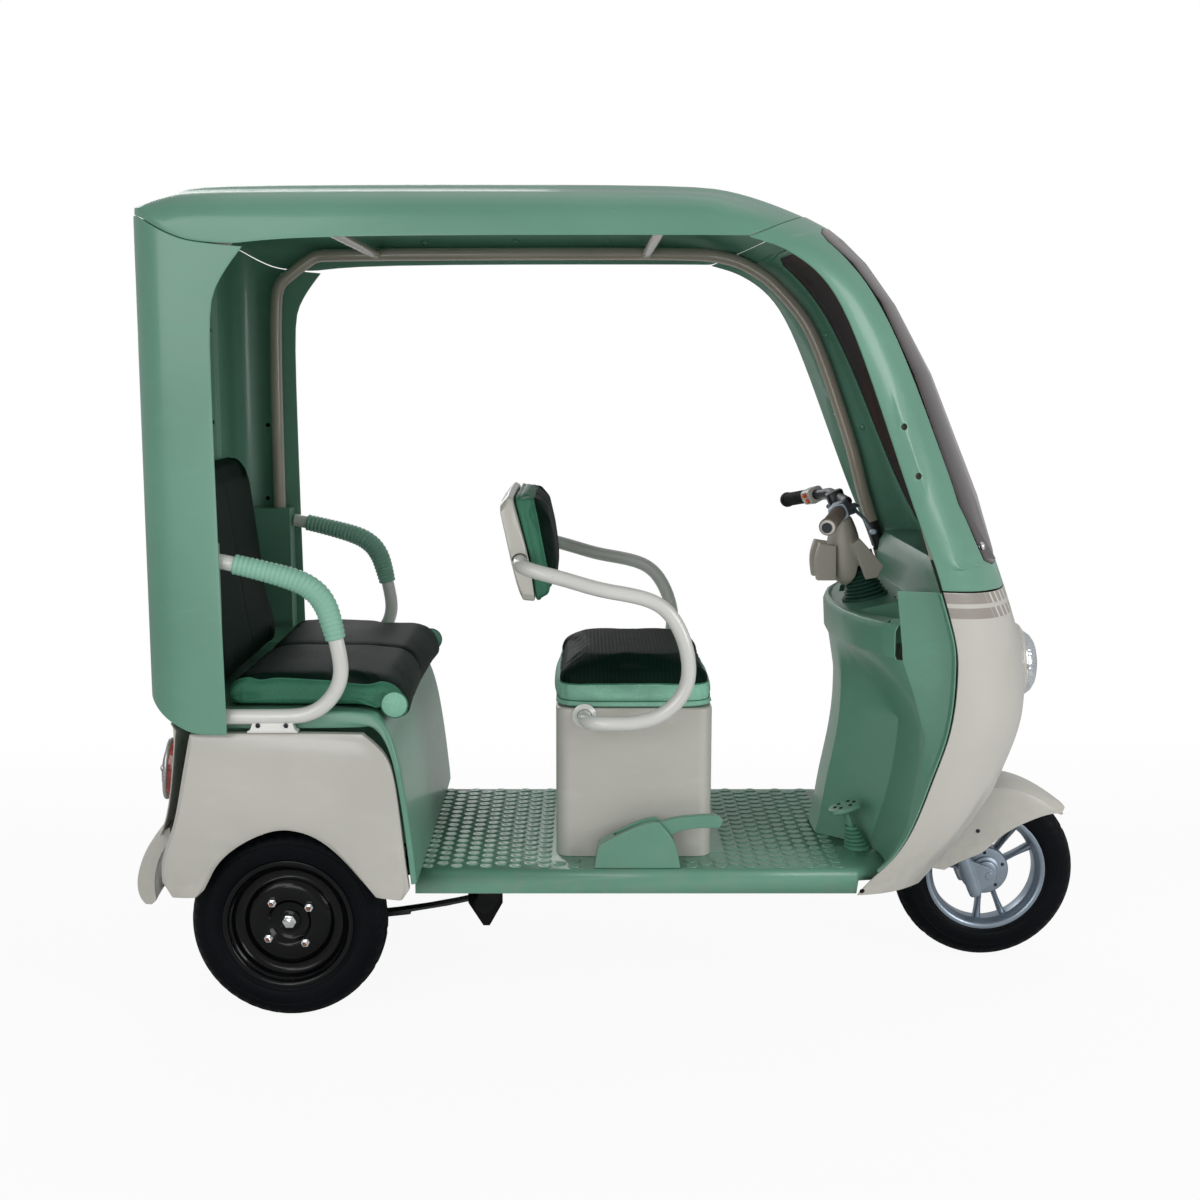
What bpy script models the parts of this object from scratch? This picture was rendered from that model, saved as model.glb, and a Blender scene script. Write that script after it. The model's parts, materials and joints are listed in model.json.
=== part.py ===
"""Electric passenger tricycle with a fixed moulded roof, at its real size in metres.

The vehicle heads along +X, its left side is +Y and the ground is at Z = 0.
Right-hand pieces have side = -1 and left-hand pieces have side = +1.
"""
import math

import bmesh
import bpy
from mathutils import Matrix, Vector

# Driving dimensions
GAP = 0.0003
WHEEL_RADIUS = 0.210
AXLE_HEIGHT = 0.210
FRONT_AXLE_X = 0.8515
REAR_AXLE_X = -0.7291
REAR_TRACK_HALF = 0.3617
SHELL = 0.004
TUBE_RADIUS = 0.016
FLOOR_TOP = 0.312
FLOOR_FRONT = 0.578
BODY_HALF_WIDTH = 0.478
WALL_X = -0.998
STEER_FOOT = Vector((0.8065, 0.0, AXLE_HEIGHT))
STEER_RAKE = math.radians(20.5)
STEER_UP = Vector((-math.sin(STEER_RAKE), 0.0, math.cos(STEER_RAKE)))
SIDES = ((-1, "right"), (1, "left"))


def clear_scene():
    """Start from an empty scene."""
    for thing in list(bpy.data.objects):
        bpy.data.objects.remove(thing, do_unlink=True)


def finish(name, colour, roughness, metallic=0.0):
    """One Principled material."""
    material = bpy.data.materials.new(name)
    material.use_nodes = True
    shader = material.node_tree.nodes["Principled BSDF"]
    shader.inputs["Base Color"].default_value = (*colour, 1.0)
    shader.inputs["Roughness"].default_value = roughness
    shader.inputs["Metallic"].default_value = metallic
    return material


clear_scene()
GREEN = finish("green_plastic", (0.16, 0.42, 0.31), 0.35)
DARK_GREEN = finish("dark_green_leather", (0.02, 0.07, 0.05), 0.5)
CREAM = finish("cream_plastic", (0.58, 0.55, 0.51), 0.32)
WHITE = finish("white_tube", (0.80, 0.81, 0.80), 0.25)
TAUPE = finish("taupe_paint", (0.30, 0.26, 0.22), 0.4)
GRIP = finish("grip_rubber", (0.12, 0.10, 0.09), 0.7)
BLACK = finish("black_rubber", (0.012, 0.012, 0.013), 0.75)
STEEL = finish("black_steel", (0.02, 0.02, 0.022), 0.4, 0.6)
ALLOY = finish("alloy", (0.42, 0.46, 0.50), 0.3, 0.9)
CHROME = finish("chrome", (0.75, 0.76, 0.78), 0.08, 1.0)
ORANGE = finish("orange_plastic", (0.85, 0.13, 0.03), 0.4)
GLASS = finish("tinted_screen", (0.05, 0.04, 0.05), 0.08)
RED = finish("red_lens", (0.45, 0.02, 0.02), 0.2)


# Shape helpers

def mix(start, end, share):
    """Value a share of the way from start to end."""
    return start + (end - start) * share


def ease(value, low, high):
    """Smooth step from 0 at low to 1 at high."""
    share = min(1.0, max(0.0, (value - low) / (high - low)))
    return share * share * (3.0 - 2.0 * share)


def along(points, value):
    """Height of a polyline of (position, height) pairs at a position."""
    ordered = sorted(points)
    if value <= ordered[0][0]:
        return ordered[0][1]
    for (low, start), (high, end) in zip(ordered, ordered[1:]):
        if value <= high:
            return mix(start, end, (value - low) / (high - low))
    return ordered[-1][1]


def fillet(points, radius, steps=5):
    """Polyline whose inner corners are round."""
    corners = [Vector(point) for point in points]
    route = [corners[0]]
    for before, corner, after in zip(corners, corners[1:], corners[2:]):
        back = before - corner
        ahead = after - corner
        half = back.angle(ahead) / 2
        reach = min(radius / math.tan(half), 0.48 * back.length, 0.48 * ahead.length)
        bend = reach * math.tan(half)
        centre = corner + (back.normalized() + ahead.normalized()).normalized() * bend / math.sin(half)
        first = corner + back.normalized() * reach - centre
        last = corner + ahead.normalized() * reach - centre
        swing = first.angle(last)
        for step in range(steps + 1):
            share = step / steps
            route.append(centre + (first * math.sin((1.0 - share) * swing)
                                   + last * math.sin(share * swing)) / math.sin(swing))
    route.append(corners[-1])
    return route


def circle(radius, sides, tall=1.0):
    """Closed round section, stretched by tall in its second direction."""
    turns = [math.tau * (side + 0.5) / sides for side in range(sides)]
    return [(radius * math.cos(turn), radius * tall * math.sin(turn)) for turn in turns]


def rounded_box(width, height, radius, steps=3):
    """Closed rectangular section with round corners, centred on zero."""
    section = []
    for quarter, (right, up) in enumerate(((1, 1), (-1, 1), (-1, -1), (1, -1))):
        for step in range(steps + 1):
            turn = math.pi / 2 * (quarter + step / steps)
            section.append((right * (width / 2 - radius) + radius * math.cos(turn),
                            up * (height / 2 - radius) + radius * math.sin(turn)))
    return section


def square(width, height=None):
    """Closed rectangular section with sharp corners."""
    tall = width if height is None else height
    return [(width / 2, tall / 2), (-width / 2, tall / 2), (-width / 2, -tall / 2),
            (width / 2, -tall / 2)]


def add_mesh(name, points, faces, material, sharp=35.0, outward=None):
    """Object from points and faces. An open sheet faces the outward direction."""
    shell = bmesh.new()
    corners = [shell.verts.new(point) for point in points]
    for face in faces:
        shell.faces.new([corners[index] for index in face])
    bmesh.ops.delete(shell, geom=[v for v in shell.verts if not v.link_faces], context="VERTS")
    bmesh.ops.remove_doubles(shell, verts=shell.verts, dist=1e-6)
    bmesh.ops.delete(shell, geom=[e for e in shell.edges if not e.link_faces], context="EDGES")
    bmesh.ops.recalc_face_normals(shell, faces=shell.faces)
    if outward is None:
        inside_out = shell.calc_volume(signed=True) < 0
    else:
        total = sum((face.normal * face.calc_area() for face in shell.faces), Vector())
        inside_out = total.dot(Vector(outward)) < 0
    if inside_out:
        bmesh.ops.reverse_faces(shell, faces=shell.faces)
    mesh = bpy.data.meshes.new(name)
    shell.to_mesh(mesh)
    shell.free()
    mesh.shade_smooth()
    mesh.set_sharp_from_angle(angle=math.radians(sharp))
    mesh.materials.append(material)
    body = bpy.data.objects.new(name, mesh)
    bpy.context.collection.objects.link(body)
    return body


def loft(name, rings, material, closed=False, sharp=35.0):
    """Solid through rings of equal count, capped unless it closes on itself."""
    around = len(rings[0])
    count = len(rings)
    points = [point for ring in rings for point in ring]
    faces = []
    for row in range(count if closed else count - 1):
        after = (row + 1) % count
        for column in range(around):
            beside = (column + 1) % around
            faces.append((row * around + column, row * around + beside,
                          after * around + beside, after * around + column))
    if not closed:
        faces.append(tuple(range(around)))
        faces.append(tuple(range((count - 1) * around, count * around)))
    return add_mesh(name, points, faces, material, sharp)


def sheet(name, grid, material, outward, thickness=SHELL, keep=None, sharp=35.0):
    """Shell of even thickness behind a grid of points, without the cells that keep refuses."""
    wide = len(grid[0])
    points = [point for row in grid for point in row]
    faces = []
    for row in range(len(grid) - 1):
        for column in range(wide - 1):
            if keep is None or keep(row, column):
                first = row * wide + column
                faces.append((first, first + 1, first + 1 + wide, first + wide))
    body = add_mesh(name, points, faces, material, sharp, outward)
    wall = body.modifiers.new("Wall", "SOLIDIFY")
    wall.thickness = thickness
    wall.offset = -1.0
    wall.use_even_offset = True
    return body


def sweep(name, route, section, material, up=(0, 0, 1), size=None, sharp=35.0):
    """Solid made by carrying a closed section along a route without twist."""
    line = [Vector(point) for point in route]
    line = [point for index, point in enumerate(line)
            if index == 0 or (point - line[index - 1]).length > 1e-5]
    rings = []
    across = None
    for index, point in enumerate(line):
        came = (point - line[max(index - 1, 0)]).normalized()
        goes = (line[min(index + 1, len(line) - 1)] - point).normalized()
        ahead = (came + goes).normalized()
        if across is None:
            across = ahead.cross(Vector(up)).normalized()
        else:
            across = (across - ahead * across.dot(ahead)).normalized()
        over = across.cross(ahead)
        grow = 1.0 if size is None else size(index / (len(line) - 1))
        rings.append([point + (across * a + over * b) * grow for a, b in section])
    return loft(name, rings, material, sharp=sharp)


def bar(name, start, end, radius, material, sides=12):
    """Straight round bar."""
    return sweep(name, [start, end], circle(radius, sides), material, up=(0.3, 0.2, 0.9))


def pipe(name, points, radius, material, bend=0.06, sides=8, steps=3, up=(0, 1, 0)):
    """Round tube along a polyline with round bends."""
    return sweep(name, fillet(points, bend, steps), circle(radius, sides), material, up=up)


def turned(name, profile, centre, axis, material, sides=24, sharp=35.0):
    """Closed profile of (radius, distance along the axis) pairs, turned about the axis."""
    axis = Vector(axis).normalized()
    across = Vector((0, 0, 1) if abs(axis.y) > 0.9 else (0, 1, 0)).cross(axis).normalized()
    over = axis.cross(across)
    rings = []
    for side in range(sides):
        turn = math.tau * side / sides
        spoke = across * math.cos(turn) + over * math.sin(turn)
        rings.append([Vector(centre) + spoke * radius + axis * reach for radius, reach in profile])
    return loft(name, rings, material, closed=True, sharp=sharp)


def prism(name, outline, low, high, material, sharp=35.0):
    """Outline of (x, z) pairs carried from y = low to y = high."""
    return loft(name, [[Vector((x, y, z)) for x, z in outline] for y in (low, high)], material,
                sharp=sharp)


def plate(name, outline, low, high, material, sharp=35.0):
    """Outline of (x, y) pairs carried from z = low to z = high."""
    return loft(name, [[Vector((x, y, z)) for x, y in outline] for z in (low, high)], material,
                sharp=sharp)


def combine(body, tools, operation):
    """Join, cut or crop a body with other solids, which then count as guides."""
    for tool in tools:
        tool.hide_render = True
        tool.display_type = "WIRE"
        step = body.modifiers.new(operation.title(), "BOOLEAN")
        step.operation = operation
        step.solver = "EXACT"
        step.object = tool
    return body


def fuse(body, *tools):
    """One solid out of several that overlap."""
    return combine(body, tools, "UNION")


def cut(body, *tools):
    """Body without the room that the tools take."""
    return combine(body, tools, "DIFFERENCE")


def pivot(body, point):
    """Put the origin of a moving piece on its joint axis."""
    point = Vector(point)
    body.data.transform(Matrix.Translation(-point))
    body.location = point
    return body


def on_steering(distance, side_step=0.0, ahead=0.0):
    """Point at a distance up the steering axis, to the side and ahead of it."""
    forward = Vector((math.cos(STEER_RAKE), 0.0, math.sin(STEER_RAKE)))
    return STEER_FOOT + STEER_UP * distance + forward * ahead + Vector((0.0, side_step, 0.0))


# Front body: stations from the roof seam down, each with the rear edge (x, y, z) and the nose (x, z)
NOSE_STATIONS = (
    ((0.226, 0.478, 1.644), (0.390, 1.712)),
    ((0.289, 0.474, 1.625), (0.455, 1.675)),
    ((0.347, 0.470, 1.594), (0.510, 1.625)),
    ((0.390, 0.466, 1.558), (0.556, 1.570)),
    ((0.4255, 0.462, 1.5015), (0.605, 1.497)),
    ((0.458, 0.458, 1.419), (0.652, 1.417)),
    ((0.4975, 0.452, 1.324), (0.697, 1.322)),
    ((0.548, 0.442, 1.163), (0.764, 1.165)),
    ((0.597, 0.433, 1.060), (0.803, 1.062)),
    ((0.630, 0.422, 0.975), (0.831, 0.972)),
    ((0.645, 0.415, 0.932), (0.852, 0.917)),
    ((0.682, 0.405, 0.820), (0.890, 0.806)),
    ((0.687, 0.400, 0.766), (0.904, 0.752)),
    ((0.686, 0.395, 0.688), (0.913, 0.683)),
    ((0.675, 0.390, 0.6075), (0.911, 0.613)),
    ((0.645, 0.385, 0.524), (0.893, 0.545)),
    ((0.617, 0.380, 0.431), (0.855, 0.455)),
    ((0.579, 0.370, 0.350), (0.810, 0.370)),
    ((0.520, 0.353, 0.290), (0.760, 0.300)),
    ((0.496, 0.345, 0.255), (0.720, 0.250)),
)
SEAM_STATION = 10
LAST_STATION = len(NOSE_STATIONS) - 1
WELL_POINT = (0.866, 0.500)
WELL_SLOPE = 1.228
APRON_BOTTOM = 0.256
SCREEN_TOP = 0.75
SCREEN_BOTTOM = 9.0
SCREEN_SPREAD = 60.0
SCREEN_ROWS = (0.93, 1.3, 2.3, 3.7, 5.5, 7.5, 8.82)
SCREEN_SHARES = (0.0, 0.33, 0.66)
SCREEN_FLANGE = 4.5
REBATE_DEPTH = 0.0055
LAMP_HEIGHT = 0.705
LAMP_RADIUS = 0.092
LAMP_SIDES = 20


def nose_frame(station):
    """Rear edge and nose at a station, which may be fractional."""
    low = min(int(station), LAST_STATION - 1)
    share = station - low
    picks = [NOSE_STATIONS[min(max(low + step, 0), LAST_STATION)] for step in (-1, 0, 1, 2)]
    values = []
    for one, two, three, four in zip(*[(*edge, *nose) for edge, nose in picks]):
        values.append(0.5 * (2 * two + (three - one) * share
                             + (2 * one - 5 * two + 4 * three - four) * share ** 2
                             + (3 * two - one - 3 * three + four) * share ** 3))
    return values


def nose_point(station, angle, depth=0.0):
    """Point of the front body at an angle from the nose, a depth below the surface."""
    edge_x, edge_y, edge_z, nose_x, nose_z = nose_frame(station)
    turn = math.radians(angle)
    point = Vector((mix(edge_x, nose_x, math.cos(turn)), edge_y * math.sin(turn),
                    mix(edge_z, nose_z, math.cos(turn))))
    if depth == 0.0:
        return point
    around = nose_point(station, angle + 1.0) - point
    if station < LAST_STATION - 0.05:
        down = nose_point(station + 0.05, angle) - point
    else:
        down = point - nose_point(station - 0.05, angle)
    inward = around.cross(down).normalized()
    return point + inward * depth


def screen_spread(station, inset=0.0):
    """Half angle of the screen opening, with round corners at its ends."""
    from_top = (station - SCREEN_TOP) / 0.9
    from_bottom = (SCREEN_BOTTOM - station) / 1.0
    near = max(0.0, min(1.0, from_top, from_bottom))
    return (SCREEN_SPREAD - inset) - 16.0 * (1.0 - math.sqrt(1.0 - (1.0 - near) ** 2))


def make_surround():
    """Both front pillars, header and sill in one moulding, with a rebate for the screen."""
    stations = [0.05, 0.35, SCREEN_TOP, SCREEN_TOP, *SCREEN_ROWS, SCREEN_BOTTOM, SCREEN_BOTTOM, 9.5, 10.0]
    sunk = range(3, 5 + len(SCREEN_ROWS))
    rim_angles = (68.0, 79.0, 90.0)
    grid = []
    for row, station in enumerate(stations):
        spread = screen_spread(station)
        middle = [(spread * share, REBATE_DEPTH if row in sunk else 0.0)
                  for share in SCREEN_SHARES]
        lip = [(spread - SCREEN_FLANGE, REBATE_DEPTH if row in sunk else 0.0),
               (spread - 0.15, REBATE_DEPTH if row in sunk else 0.0), (spread, 0.0)]
        rest = [(mix(spread, 90.0, (angle - 58.0) / 32.0), 0.0) for angle in rim_angles]
        half = middle + lip + rest
        row_angles = [(-angle, depth) for angle, depth in reversed(half[1:])] + half
        grid.append([nose_point(station + shift_station(row, stations), angle, depth)
                     for angle, depth in row_angles])
    centre = len(grid[0]) // 2
    reach = len(SCREEN_SHARES)

    def keep(row, column):
        inside = centre - reach <= column < centre + reach
        return not (inside and 4 <= row < 3 + len(SCREEN_ROWS))

    body = sheet("windshield_surround", grid, GREEN, (1, 0, 0.3), keep=keep)
    return cut(body, *surround_recesses())


def shift_station(row, stations):
    """Small step that keeps the two rows of a rebate's wall apart."""
    if row > 0 and stations[row] == stations[row - 1] and row < 10:
        return 0.012
    if row + 1 < len(stations) and stations[row] == stations[row + 1] and row > 10:
        return -0.012
    return 0.0


def surround_recesses():
    """Two sunk screw seats on each pillar."""
    seats = []
    for side, word in SIDES:
        for number, station in enumerate((6.35, 6.95)):
            middle = nose_point(station, side * 80.0)
            seats.append(bar(f"pillar_seat_{word}_{number}", middle - Vector((0, side * 0.02, 0)),
                             middle + Vector((0, side * 0.02, 0)), 0.007, GREEN, 8))
    return seats


def make_windshield():
    """Tinted screen that lies in the rebate."""
    grid = []
    ends = (SCREEN_TOP, SCREEN_BOTTOM)
    first, last = [mix(end, row, 0.15) for end, row in zip(ends, (SCREEN_ROWS[0], SCREEN_ROWS[-1]))]
    first_spread, last_spread = [mix(screen_spread(end), screen_spread(row), 0.06)
                                 for end, row in zip(ends, (SCREEN_ROWS[0], SCREEN_ROWS[-1]))]
    rows = [(first, first_spread)] + [(row, screen_spread(row)) for row in SCREEN_ROWS]
    rows.append((last, last_spread))
    for station, spread in rows:
        half = [spread * share for share in SCREEN_SHARES] + [spread - SCREEN_FLANGE, spread - 0.6]
        row_angles = [-angle for angle in reversed(half[1:])] + half
        grid.append([nose_point(station, angle) for angle in row_angles])
    return sheet("windshield", grid, GLASS, (1, 0, 0.3), thickness=0.0045)


def apron_end(angle):
    """Station where the apron ends, at the wheel well or the bottom edge."""
    low, high = float(SEAM_STATION), float(LAST_STATION)
    for _ in range(30):
        middle = (low + high) / 2
        point = nose_point(middle, angle)
        well = WELL_POINT[1] + WELL_SLOPE * (point.x - WELL_POINT[0])
        if point.z > max(APRON_BOTTOM, well):
            low = middle
        else:
            high = middle
    return low


APRON_ROWS = 9
APRON_EDGE = [nose_point(mix(SEAM_STATION + 0.04, apron_end(90.0), row / APRON_ROWS), 90.0)
              for row in range(APRON_ROWS + 1)]


def make_apron():
    """Cream front apron with the lamp hole and the wheel well's edge."""
    angles = (-90, -76, -62, -49, -37, -26, -13, 0, 13, 26, 37, 49, 62, 76, 90)
    grid = []
    for row in range(APRON_ROWS + 1):
        line = []
        for angle in angles:
            station = mix(SEAM_STATION + 0.04, apron_end(angle), row / APRON_ROWS)
            line.append(nose_point(station, angle))
        grid.append(line)
    body = sheet("front_apron", grid, CREAM, (1, 0, 0))
    radius = LAMP_RADIUS - 0.006 + GAP * 2
    hole = turned("lamp_hole", [(0.0, 0.86), (radius, 0.86), (radius, 0.96), (0.0, 0.96)],
                  (0, 0, LAMP_HEIGHT), (1, 0, 0), CREAM, LAMP_SIDES)
    return cut(body, hole)


def make_headlamp():
    """Round lamp: housing, collar and domed lens."""
    body = LAMP_RADIUS - 0.006
    profile = [(0.0, 0.845), (0.060, 0.850), (body, 0.885), (body, 0.919), (LAMP_RADIUS, 0.9195),
               (LAMP_RADIUS + 0.002, 0.927), (LAMP_RADIUS - 0.004, 0.936), (LAMP_RADIUS - 0.018, 0.938),
               (0.045, 0.951), (0.0, 0.956)]
    return turned("headlamp", profile, (0, 0, LAMP_HEIGHT), (1, 0, 0), CHROME, LAMP_SIDES)


# Roof, side panels and rear wall
ROOF_SECTION = ((0.478, 1.646, 90), (0.480, 1.676, 87), (0.474, 1.700, 81), (0.455, 1.722, 73),
                (0.420, 1.738, 64),
                (0.360, 1.745, 52), (0.340, 1.757, 46), (0.310, 1.762, 40), (0.160, 1.766, 20),
                (0.0, 1.768, 0))
ROOF_REAR_START = -0.86
ROOF_FRONT_START = 0.10
ROOF_LIP = 0.014
ROOF_SIDE_SEAM = ((-0.998, 1.690), (-0.980, 1.688), (-0.935, 1.661), (-0.890, 1.641), (-0.853, 1.633),
                  (-0.770, 1.626), (-0.705, 1.646))
SEAM_GAP = 0.0022
PANEL_TOP_FRONT = -0.774
PANEL_CORNER_X = -0.920
PANEL_CORNER_Y = 0.400
REAR_WALL_HALF = 0.3594
REAR_WALL_BOTTOM = 0.7205


def rear_x(across):
    """Rearmost position of the body at a distance from the middle."""
    over = max(0.0, across - PANEL_CORNER_Y) / (BODY_HALF_WIDTH - PANEL_CORNER_Y)
    return mix(PANEL_CORNER_X, WALL_X, math.sqrt(max(0.0, 1.0 - min(1.0, over) ** 2)))


def roof_point(kind, place, half, height, angle):
    """Point of the roof on one column of its section."""
    rim = angle == 90
    if kind in ("rear", "lip"):
        x = mix(ROOF_REAR_START, rear_x(half), place)
        seam = along(ROOF_SIDE_SEAM, x)
        if rim or kind == "lip":
            return x, min(half, BODY_HALF_WIDTH), seam
        return x, half, mix(height, along(ROOF_SIDE_SEAM, rear_x(half)) + ROOF_LIP, place ** 1.8)
    if kind == "middle":
        return place, half, along(ROOF_SIDE_SEAM, place) if rim else height
    end = nose_point(0.0, angle)
    x = mix(ROOF_FRONT_START, end.x - 0.0006, place)
    share = place ** 2
    return x, mix(half, end.y, share), mix(height, end.z + (0.001 if rim else 0.0), share)


def make_roof():
    """Moulded roof with a raised middle, side rims and turned-down ends."""
    rows = [("lip", 1.0)]
    rows += [("rear", place) for place in (1.0, 0.92, 0.72, 0.40, 0.0)]
    rows += [("middle", place) for place in (-0.77, -0.705, -0.30)]
    rows += [("front", place) for place in (0.0, 0.40, 0.78, 1.0)]
    grid = []
    for kind, place in rows:
        half_row = [roof_point(kind, place, half, height, angle) for half, height, angle in ROOF_SECTION]
        line = [Vector((x, -y, z)) for x, y, z in half_row]
        line += [Vector((x, y, z)) for x, y, z in reversed(half_row[:-1])]
        grid.append(line)
    return sheet("roof_panel", grid, GREEN, (0, 0, 1))


def panel_front_x(height):
    """Front edge of a side panel, which curves forward under the roof."""
    if height < 1.50:
        return mix(-0.828, -0.8405, (height - 0.645) / 0.855)
    return -0.8405 + 0.075 * ((height - 1.50) / 0.125) ** 2


def make_side_panel(side, word):
    """Tall rear side panel that wraps round the rear corner."""
    bottoms = ((-0.998, 0.7205), (-0.985, 0.705), (-0.963, 0.682), (-0.925, 0.657), (-0.880, 0.643),
               (-0.80, 0.642))
    corner = [math.radians(90 * step / 5) for step in range(6)]
    radius = BODY_HALF_WIDTH - PANEL_CORNER_Y
    grid = []
    for step in range(13):
        share = step / 12
        line = []
        for x in (PANEL_TOP_FRONT, -0.860, -0.893):
            z = mix(0.6425, along(ROOF_SIDE_SEAM, x) - SEAM_GAP, share)
            if x == PANEL_TOP_FRONT:
                x = panel_front_x(z)
            line.append(Vector((x, side * BODY_HALF_WIDTH, z)))
        for turn in corner:
            x = PANEL_CORNER_X - radius * math.sin(turn)
            y = PANEL_CORNER_Y + radius * math.cos(turn)
            z = mix(along(bottoms, x), along(ROOF_SIDE_SEAM, x) - SEAM_GAP, share)
            line.append(Vector((x, side * y, z)))
        z = mix(bottoms[0][1], ROOF_SIDE_SEAM[0][1] - SEAM_GAP, share)
        line.append(Vector((WALL_X, side * (REAR_WALL_HALF + 2 * GAP), z)))
        grid.append(line)
    return sheet(f"side_panel_{word}", grid, GREEN, (-0.3, side, 0))


def make_rear_wall():
    """Rear wall with pressed channels and the two boxes that carry the armrests and roof tubes."""
    half_row = ((0.0, 0.0), (0.105, 0.0), (0.115, 0.007), (0.145, 0.007), (0.155, 0.0), (0.255, 0.0),
                (0.265, 0.007),
                (0.295, 0.007), (0.305, 0.0), (REAR_WALL_HALF, 0.0))
    row = [(-y, sunk) for y, sunk in reversed(half_row[1:])] + list(half_row)
    top = ROOF_SIDE_SEAM[0][1] - SEAM_GAP
    heights = (REAR_WALL_BOTTOM, 0.80, 0.81, 1.61, 1.62, top)
    flat = (0, 1, 4, 5)
    grid = [[Vector((WALL_X + (0.0 if level in flat else sunk), y, z)) for y, sunk in row]
            for level, z in enumerate(heights)]
    wall = sheet("rear_wall", grid, GREEN, (-1, 0, 0))
    boxes = []
    for side, word in SIDES:
        outline = ((-0.848, 0.400), (-0.848, 0.468), (-0.918, 0.468), (-0.955, 0.456), (-0.979, 0.428),
                   (-0.9925, 0.388), (-0.9925, 0.358), (-0.9955, 0.355), (-0.9955, 0.335),
                   (-0.980, 0.335),
                   (-0.958, 0.400))
        box = plate(f"post_box_{word}", [(x, side * y) for x, y in outline], 0.7215, 1.030, GREEN)
        boxes.append(box)
    return fuse(wall, *boxes)


# Leg shield and dashboard
SHIELD_MIDDLE = ((0.312, 0.440), (0.364, 0.456), (0.449, 0.4635), (0.534, 0.485), (0.651, 0.499),
                 (0.749, 0.485),
                 (0.775, 0.479), (0.806, 0.477), (0.846, 0.472))
SHIELD_RECESS = ((0.312, 0.565), (0.430, 0.605), (0.520, 0.622), (0.600, 0.628), (0.775, 0.630))
SHIELD_TOP = 0.775
EAR_TOP = 0.926
EAR_WIDTH = 0.045
SHELF_START = (0.490, 0.845)
SHELF_SLOPE = 0.22
HOOD_X = 0.640
POCKET_DEPTH = 0.055
STEM_HOLE_RADIUS = 0.030
LOCK_PLACE = (0.622, -0.095)


def body_edge(height):
    """Rear edge (x, y) of the apron at a height."""
    return (along([(point.z, point.x) for point in APRON_EDGE], height),
            along([(point.z, point.y) for point in APRON_EDGE], height))


def shield_x(across, height):
    """Rear face of the leg shield: a middle column, recesses beside it and a rim at the body's edge."""
    edge_x, edge_y = body_edge(height)
    middle = along(SHIELD_MIDDLE, height)
    recess = mix(middle, along(SHIELD_RECESS, height), ease(across, 0.05, 0.19))
    round_face = mix(middle, edge_x - 0.035, 1.0 - math.sqrt(max(0.0, 1.0 - (across / 0.405) ** 2)))
    face = mix(recess, round_face, ease(height, 0.60, 0.80))
    return mix(face, edge_x - 0.0078, ease(across, edge_y - 0.050, edge_y - 0.014))


def make_leg_shield():
    """Leg shield with a rim that runs up beside the dashboard."""
    low_rows = sorted(point.z for point in APRON_EDGE if 0.33 < point.z < SHIELD_TOP - 0.02)
    heights = [0.3138, *low_rows, SHIELD_TOP, 0.81, 0.85, 0.89, EAR_TOP]
    top_row = heights.index(SHIELD_TOP)
    inner = (0.0, 0.06, 0.11, 0.16, 0.22)
    grid = []
    for z in heights:
        edge_y = body_edge(z)[1]
        half = list(inner) + [mix(0.22, edge_y - EAR_WIDTH, 0.6), edge_y - EAR_WIDTH, edge_y - 0.032,
                              edge_y - 0.018, edge_y - 0.001]
        row = [-y for y in reversed(half[1:])] + half
        grid.append([Vector((shield_x(abs(y), z), y, z)) for y in row])
    centre = len(grid[0]) // 2

    def keep(row, column):
        ear = column < centre - 6 or column >= centre + 6
        return ear or row < top_row

    return sheet("leg_shield", grid, GREEN, (-1, 0, 0), thickness=0.0035, keep=keep)


def shelf_z(x):
    """Height of the dashboard's sloping shelf."""
    return SHELF_START[1] + SHELF_SLOPE * (x - SHELF_START[0])


def hood_front(across):
    """Front end of the hood, a little behind the screen."""
    return nose_point(9.0, math.degrees(math.asin(across / 0.422))).x - 0.024


def make_dashboard():
    """Console top with a rear band, a sloping shelf, two pockets and a hood under the screen."""
    half = (0.0, 0.09, 0.145, 0.152, 0.23, 0.318, 0.328)
    band = ((SHIELD_TOP + 0.0008, -0.005), (0.784, -0.007), (0.838, -0.003), (0.851, 0.003),
            (0.8545, 0.010))
    shelf = (0.0, 0.14, 0.20, 0.72, 0.78, 1.0)

    def across(height):
        full = (*half, body_edge(min(height, EAR_TOP))[1] - EAR_WIDTH - 0.004)
        return [-y for y in reversed(full[1:])] + list(full)

    grid = []
    for z, step in band:
        grid.append([Vector((shield_x(abs(y), min(z, 0.846)) + step, y, z)) for y in across(z)])
    for index, share in enumerate(shelf):
        line = []
        for y in across(0.86):
            start = shield_x(abs(y), 0.846) + 0.018
            x = mix(start, HOOD_X, share)
            sunk = POCKET_DEPTH if 0.150 < abs(y) < 0.319 and 2 <= index <= 3 else 0.0
            line.append(Vector((x, y, shelf_z(x) - sunk)))
        grid.append(line)
    for step, z in ((0.006, 0.900), (0.014, 0.955), (0.026, 0.976)):
        grid.append([Vector((HOOD_X + step, y, z)) for y in across(z)])
    grid.append([Vector((max(hood_front(abs(y)), HOOD_X + 0.05), y, 0.982)) for y in across(0.9)])
    body = sheet("dashboard", grid, GREEN, (-0.5, 0, 1), thickness=0.0035)
    lock_x, lock_y = LOCK_PLACE
    normal = shelf_normal()
    seat = Vector((lock_x, lock_y, shelf_z(lock_x)))
    return cut(body, bar("stem_hole", on_steering(0.62), on_steering(0.74), STEM_HOLE_RADIUS, GREEN, 14),
               bar("lock_hole", seat - normal * 0.02, seat + normal * 0.02, 0.0128, GREEN, 10))


def shelf_normal():
    """Direction square to the shelf."""
    return Vector((-SHELF_SLOPE, 0.0, 1.0)).normalized()


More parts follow.
